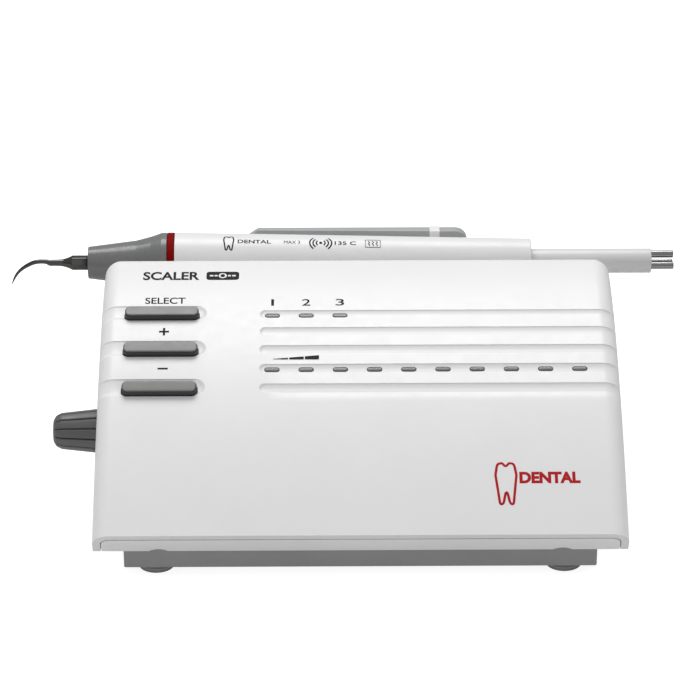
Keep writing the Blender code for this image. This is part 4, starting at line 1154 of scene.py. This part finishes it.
def build_floor():
    """Pale table, bright to look at; it throws less light back on the object, least of all behind it."""
    n = Nodes("studio_floor")
    seen = n.add("LightPath").outputs["Is Camera Ray"]
    depth = n.add("SeparateXYZ", Vector=n.where).outputs["Y"]
    bounce = n.remap(depth, FLOOR_BOUNCE, FLOOR_BOUNCE_BEHIND, -0.1, 0.05)
    cloud = n.remap(n.noise(2.0, 2.0))
    n.set(Base_Color=n.blend(cloud, (0.47, 0.47, 0.47), (0.49, 0.49, 0.49)),
          Roughness=n.remap(n.noise(40.0, 3.0), 0.6, 0.7), Emission_Color=(1.0, 1.0, 1.0, 1.0),
          Emission_Strength=n.remap(seen, bounce, FLOOR_GLOW, 0.0, 1.0), Specular_IOR_Level=0.2)
    mesh = bpy.data.meshes.new("floor")
    bm = bmesh.new()
    bmesh.ops.create_grid(bm, x_segments=8, y_segments=8, size=6.0)
    bm.to_mesh(mesh)
    bm.free()
    mesh.materials.append(n.mat)
    add_object("floor", mesh)


def build_world():
    """Pale room: brightest overhead, greyer toward the horizon."""
    world = bpy.data.worlds.new("studio")
    world.use_nodes = True
    nodes, links = world.node_tree.nodes, world.node_tree.links
    coords, split = nodes.new("ShaderNodeTexCoord"), nodes.new("ShaderNodeSeparateXYZ")
    ramp = nodes.new("ShaderNodeMapRange")
    ramp.interpolation_type = "SMOOTHSTEP"
    limits = {"From Min": 0.0, "From Max": 0.8, "To Min": WORLD_HORIZON, "To Max": WORLD_ZENITH}
    for name, value in limits.items():
        ramp.inputs[name].default_value = value
    links.new(coords.outputs["Generated"], split.inputs["Vector"])
    links.new(split.outputs["Z"], ramp.inputs["Value"])
    links.new(ramp.outputs["Result"], nodes["Background"].inputs["Strength"])
    nodes["Background"].inputs["Color"].default_value = (1.0, 1.0, 1.0, 1.0)
    bpy.context.scene.world = world


def build_studio():
    build_floor()
    build_world()
    area_light("overhead", OVERHEAD_PLACE, OVERHEAD_WIDE, OVERHEAD_DEEP, OVERHEAD_POWER)
    area_light("front_fill", FILL_PLACE, FILL_WIDE, FILL_DEEP, FILL_POWER)


def build_camera():
    """Long lens from the front and well above the table, as product pictures are taken."""
    target = (Vector(CAMERA_TARGET) + ORIGIN) * MM
    level = cos(CAMERA_LIFT)
    forward = Vector((sin(CAMERA_TURN) * level, cos(CAMERA_TURN) * level, -sin(CAMERA_LIFT)))
    data = bpy.data.cameras.new("camera")
    data.sensor_width, data.lens = 36.0, CAMERA_LENS
    data.clip_start, data.clip_end = 0.05, 20.0
    ob = add_object("camera", data)
    ob.location = target - forward * CAMERA_DISTANCE
    ob.rotation_euler = forward.to_track_quat("-Z", "Y").to_euler()
    bpy.context.scene.camera = ob


def build_all():
    build_camera()
    build_cover()
    build_tray()
    build_base()
    build_feet()
    build_buttons()
    build_windows()
    build_panel_print()
    build_barrel_print()
    build_knob()
    build_handpiece()
    build_tip()
    build_holder()
    build_strap()
    dress_nodes()
    build_studio()
    bpy.context.scene.view_settings.view_transform = "Standard"


build_all()
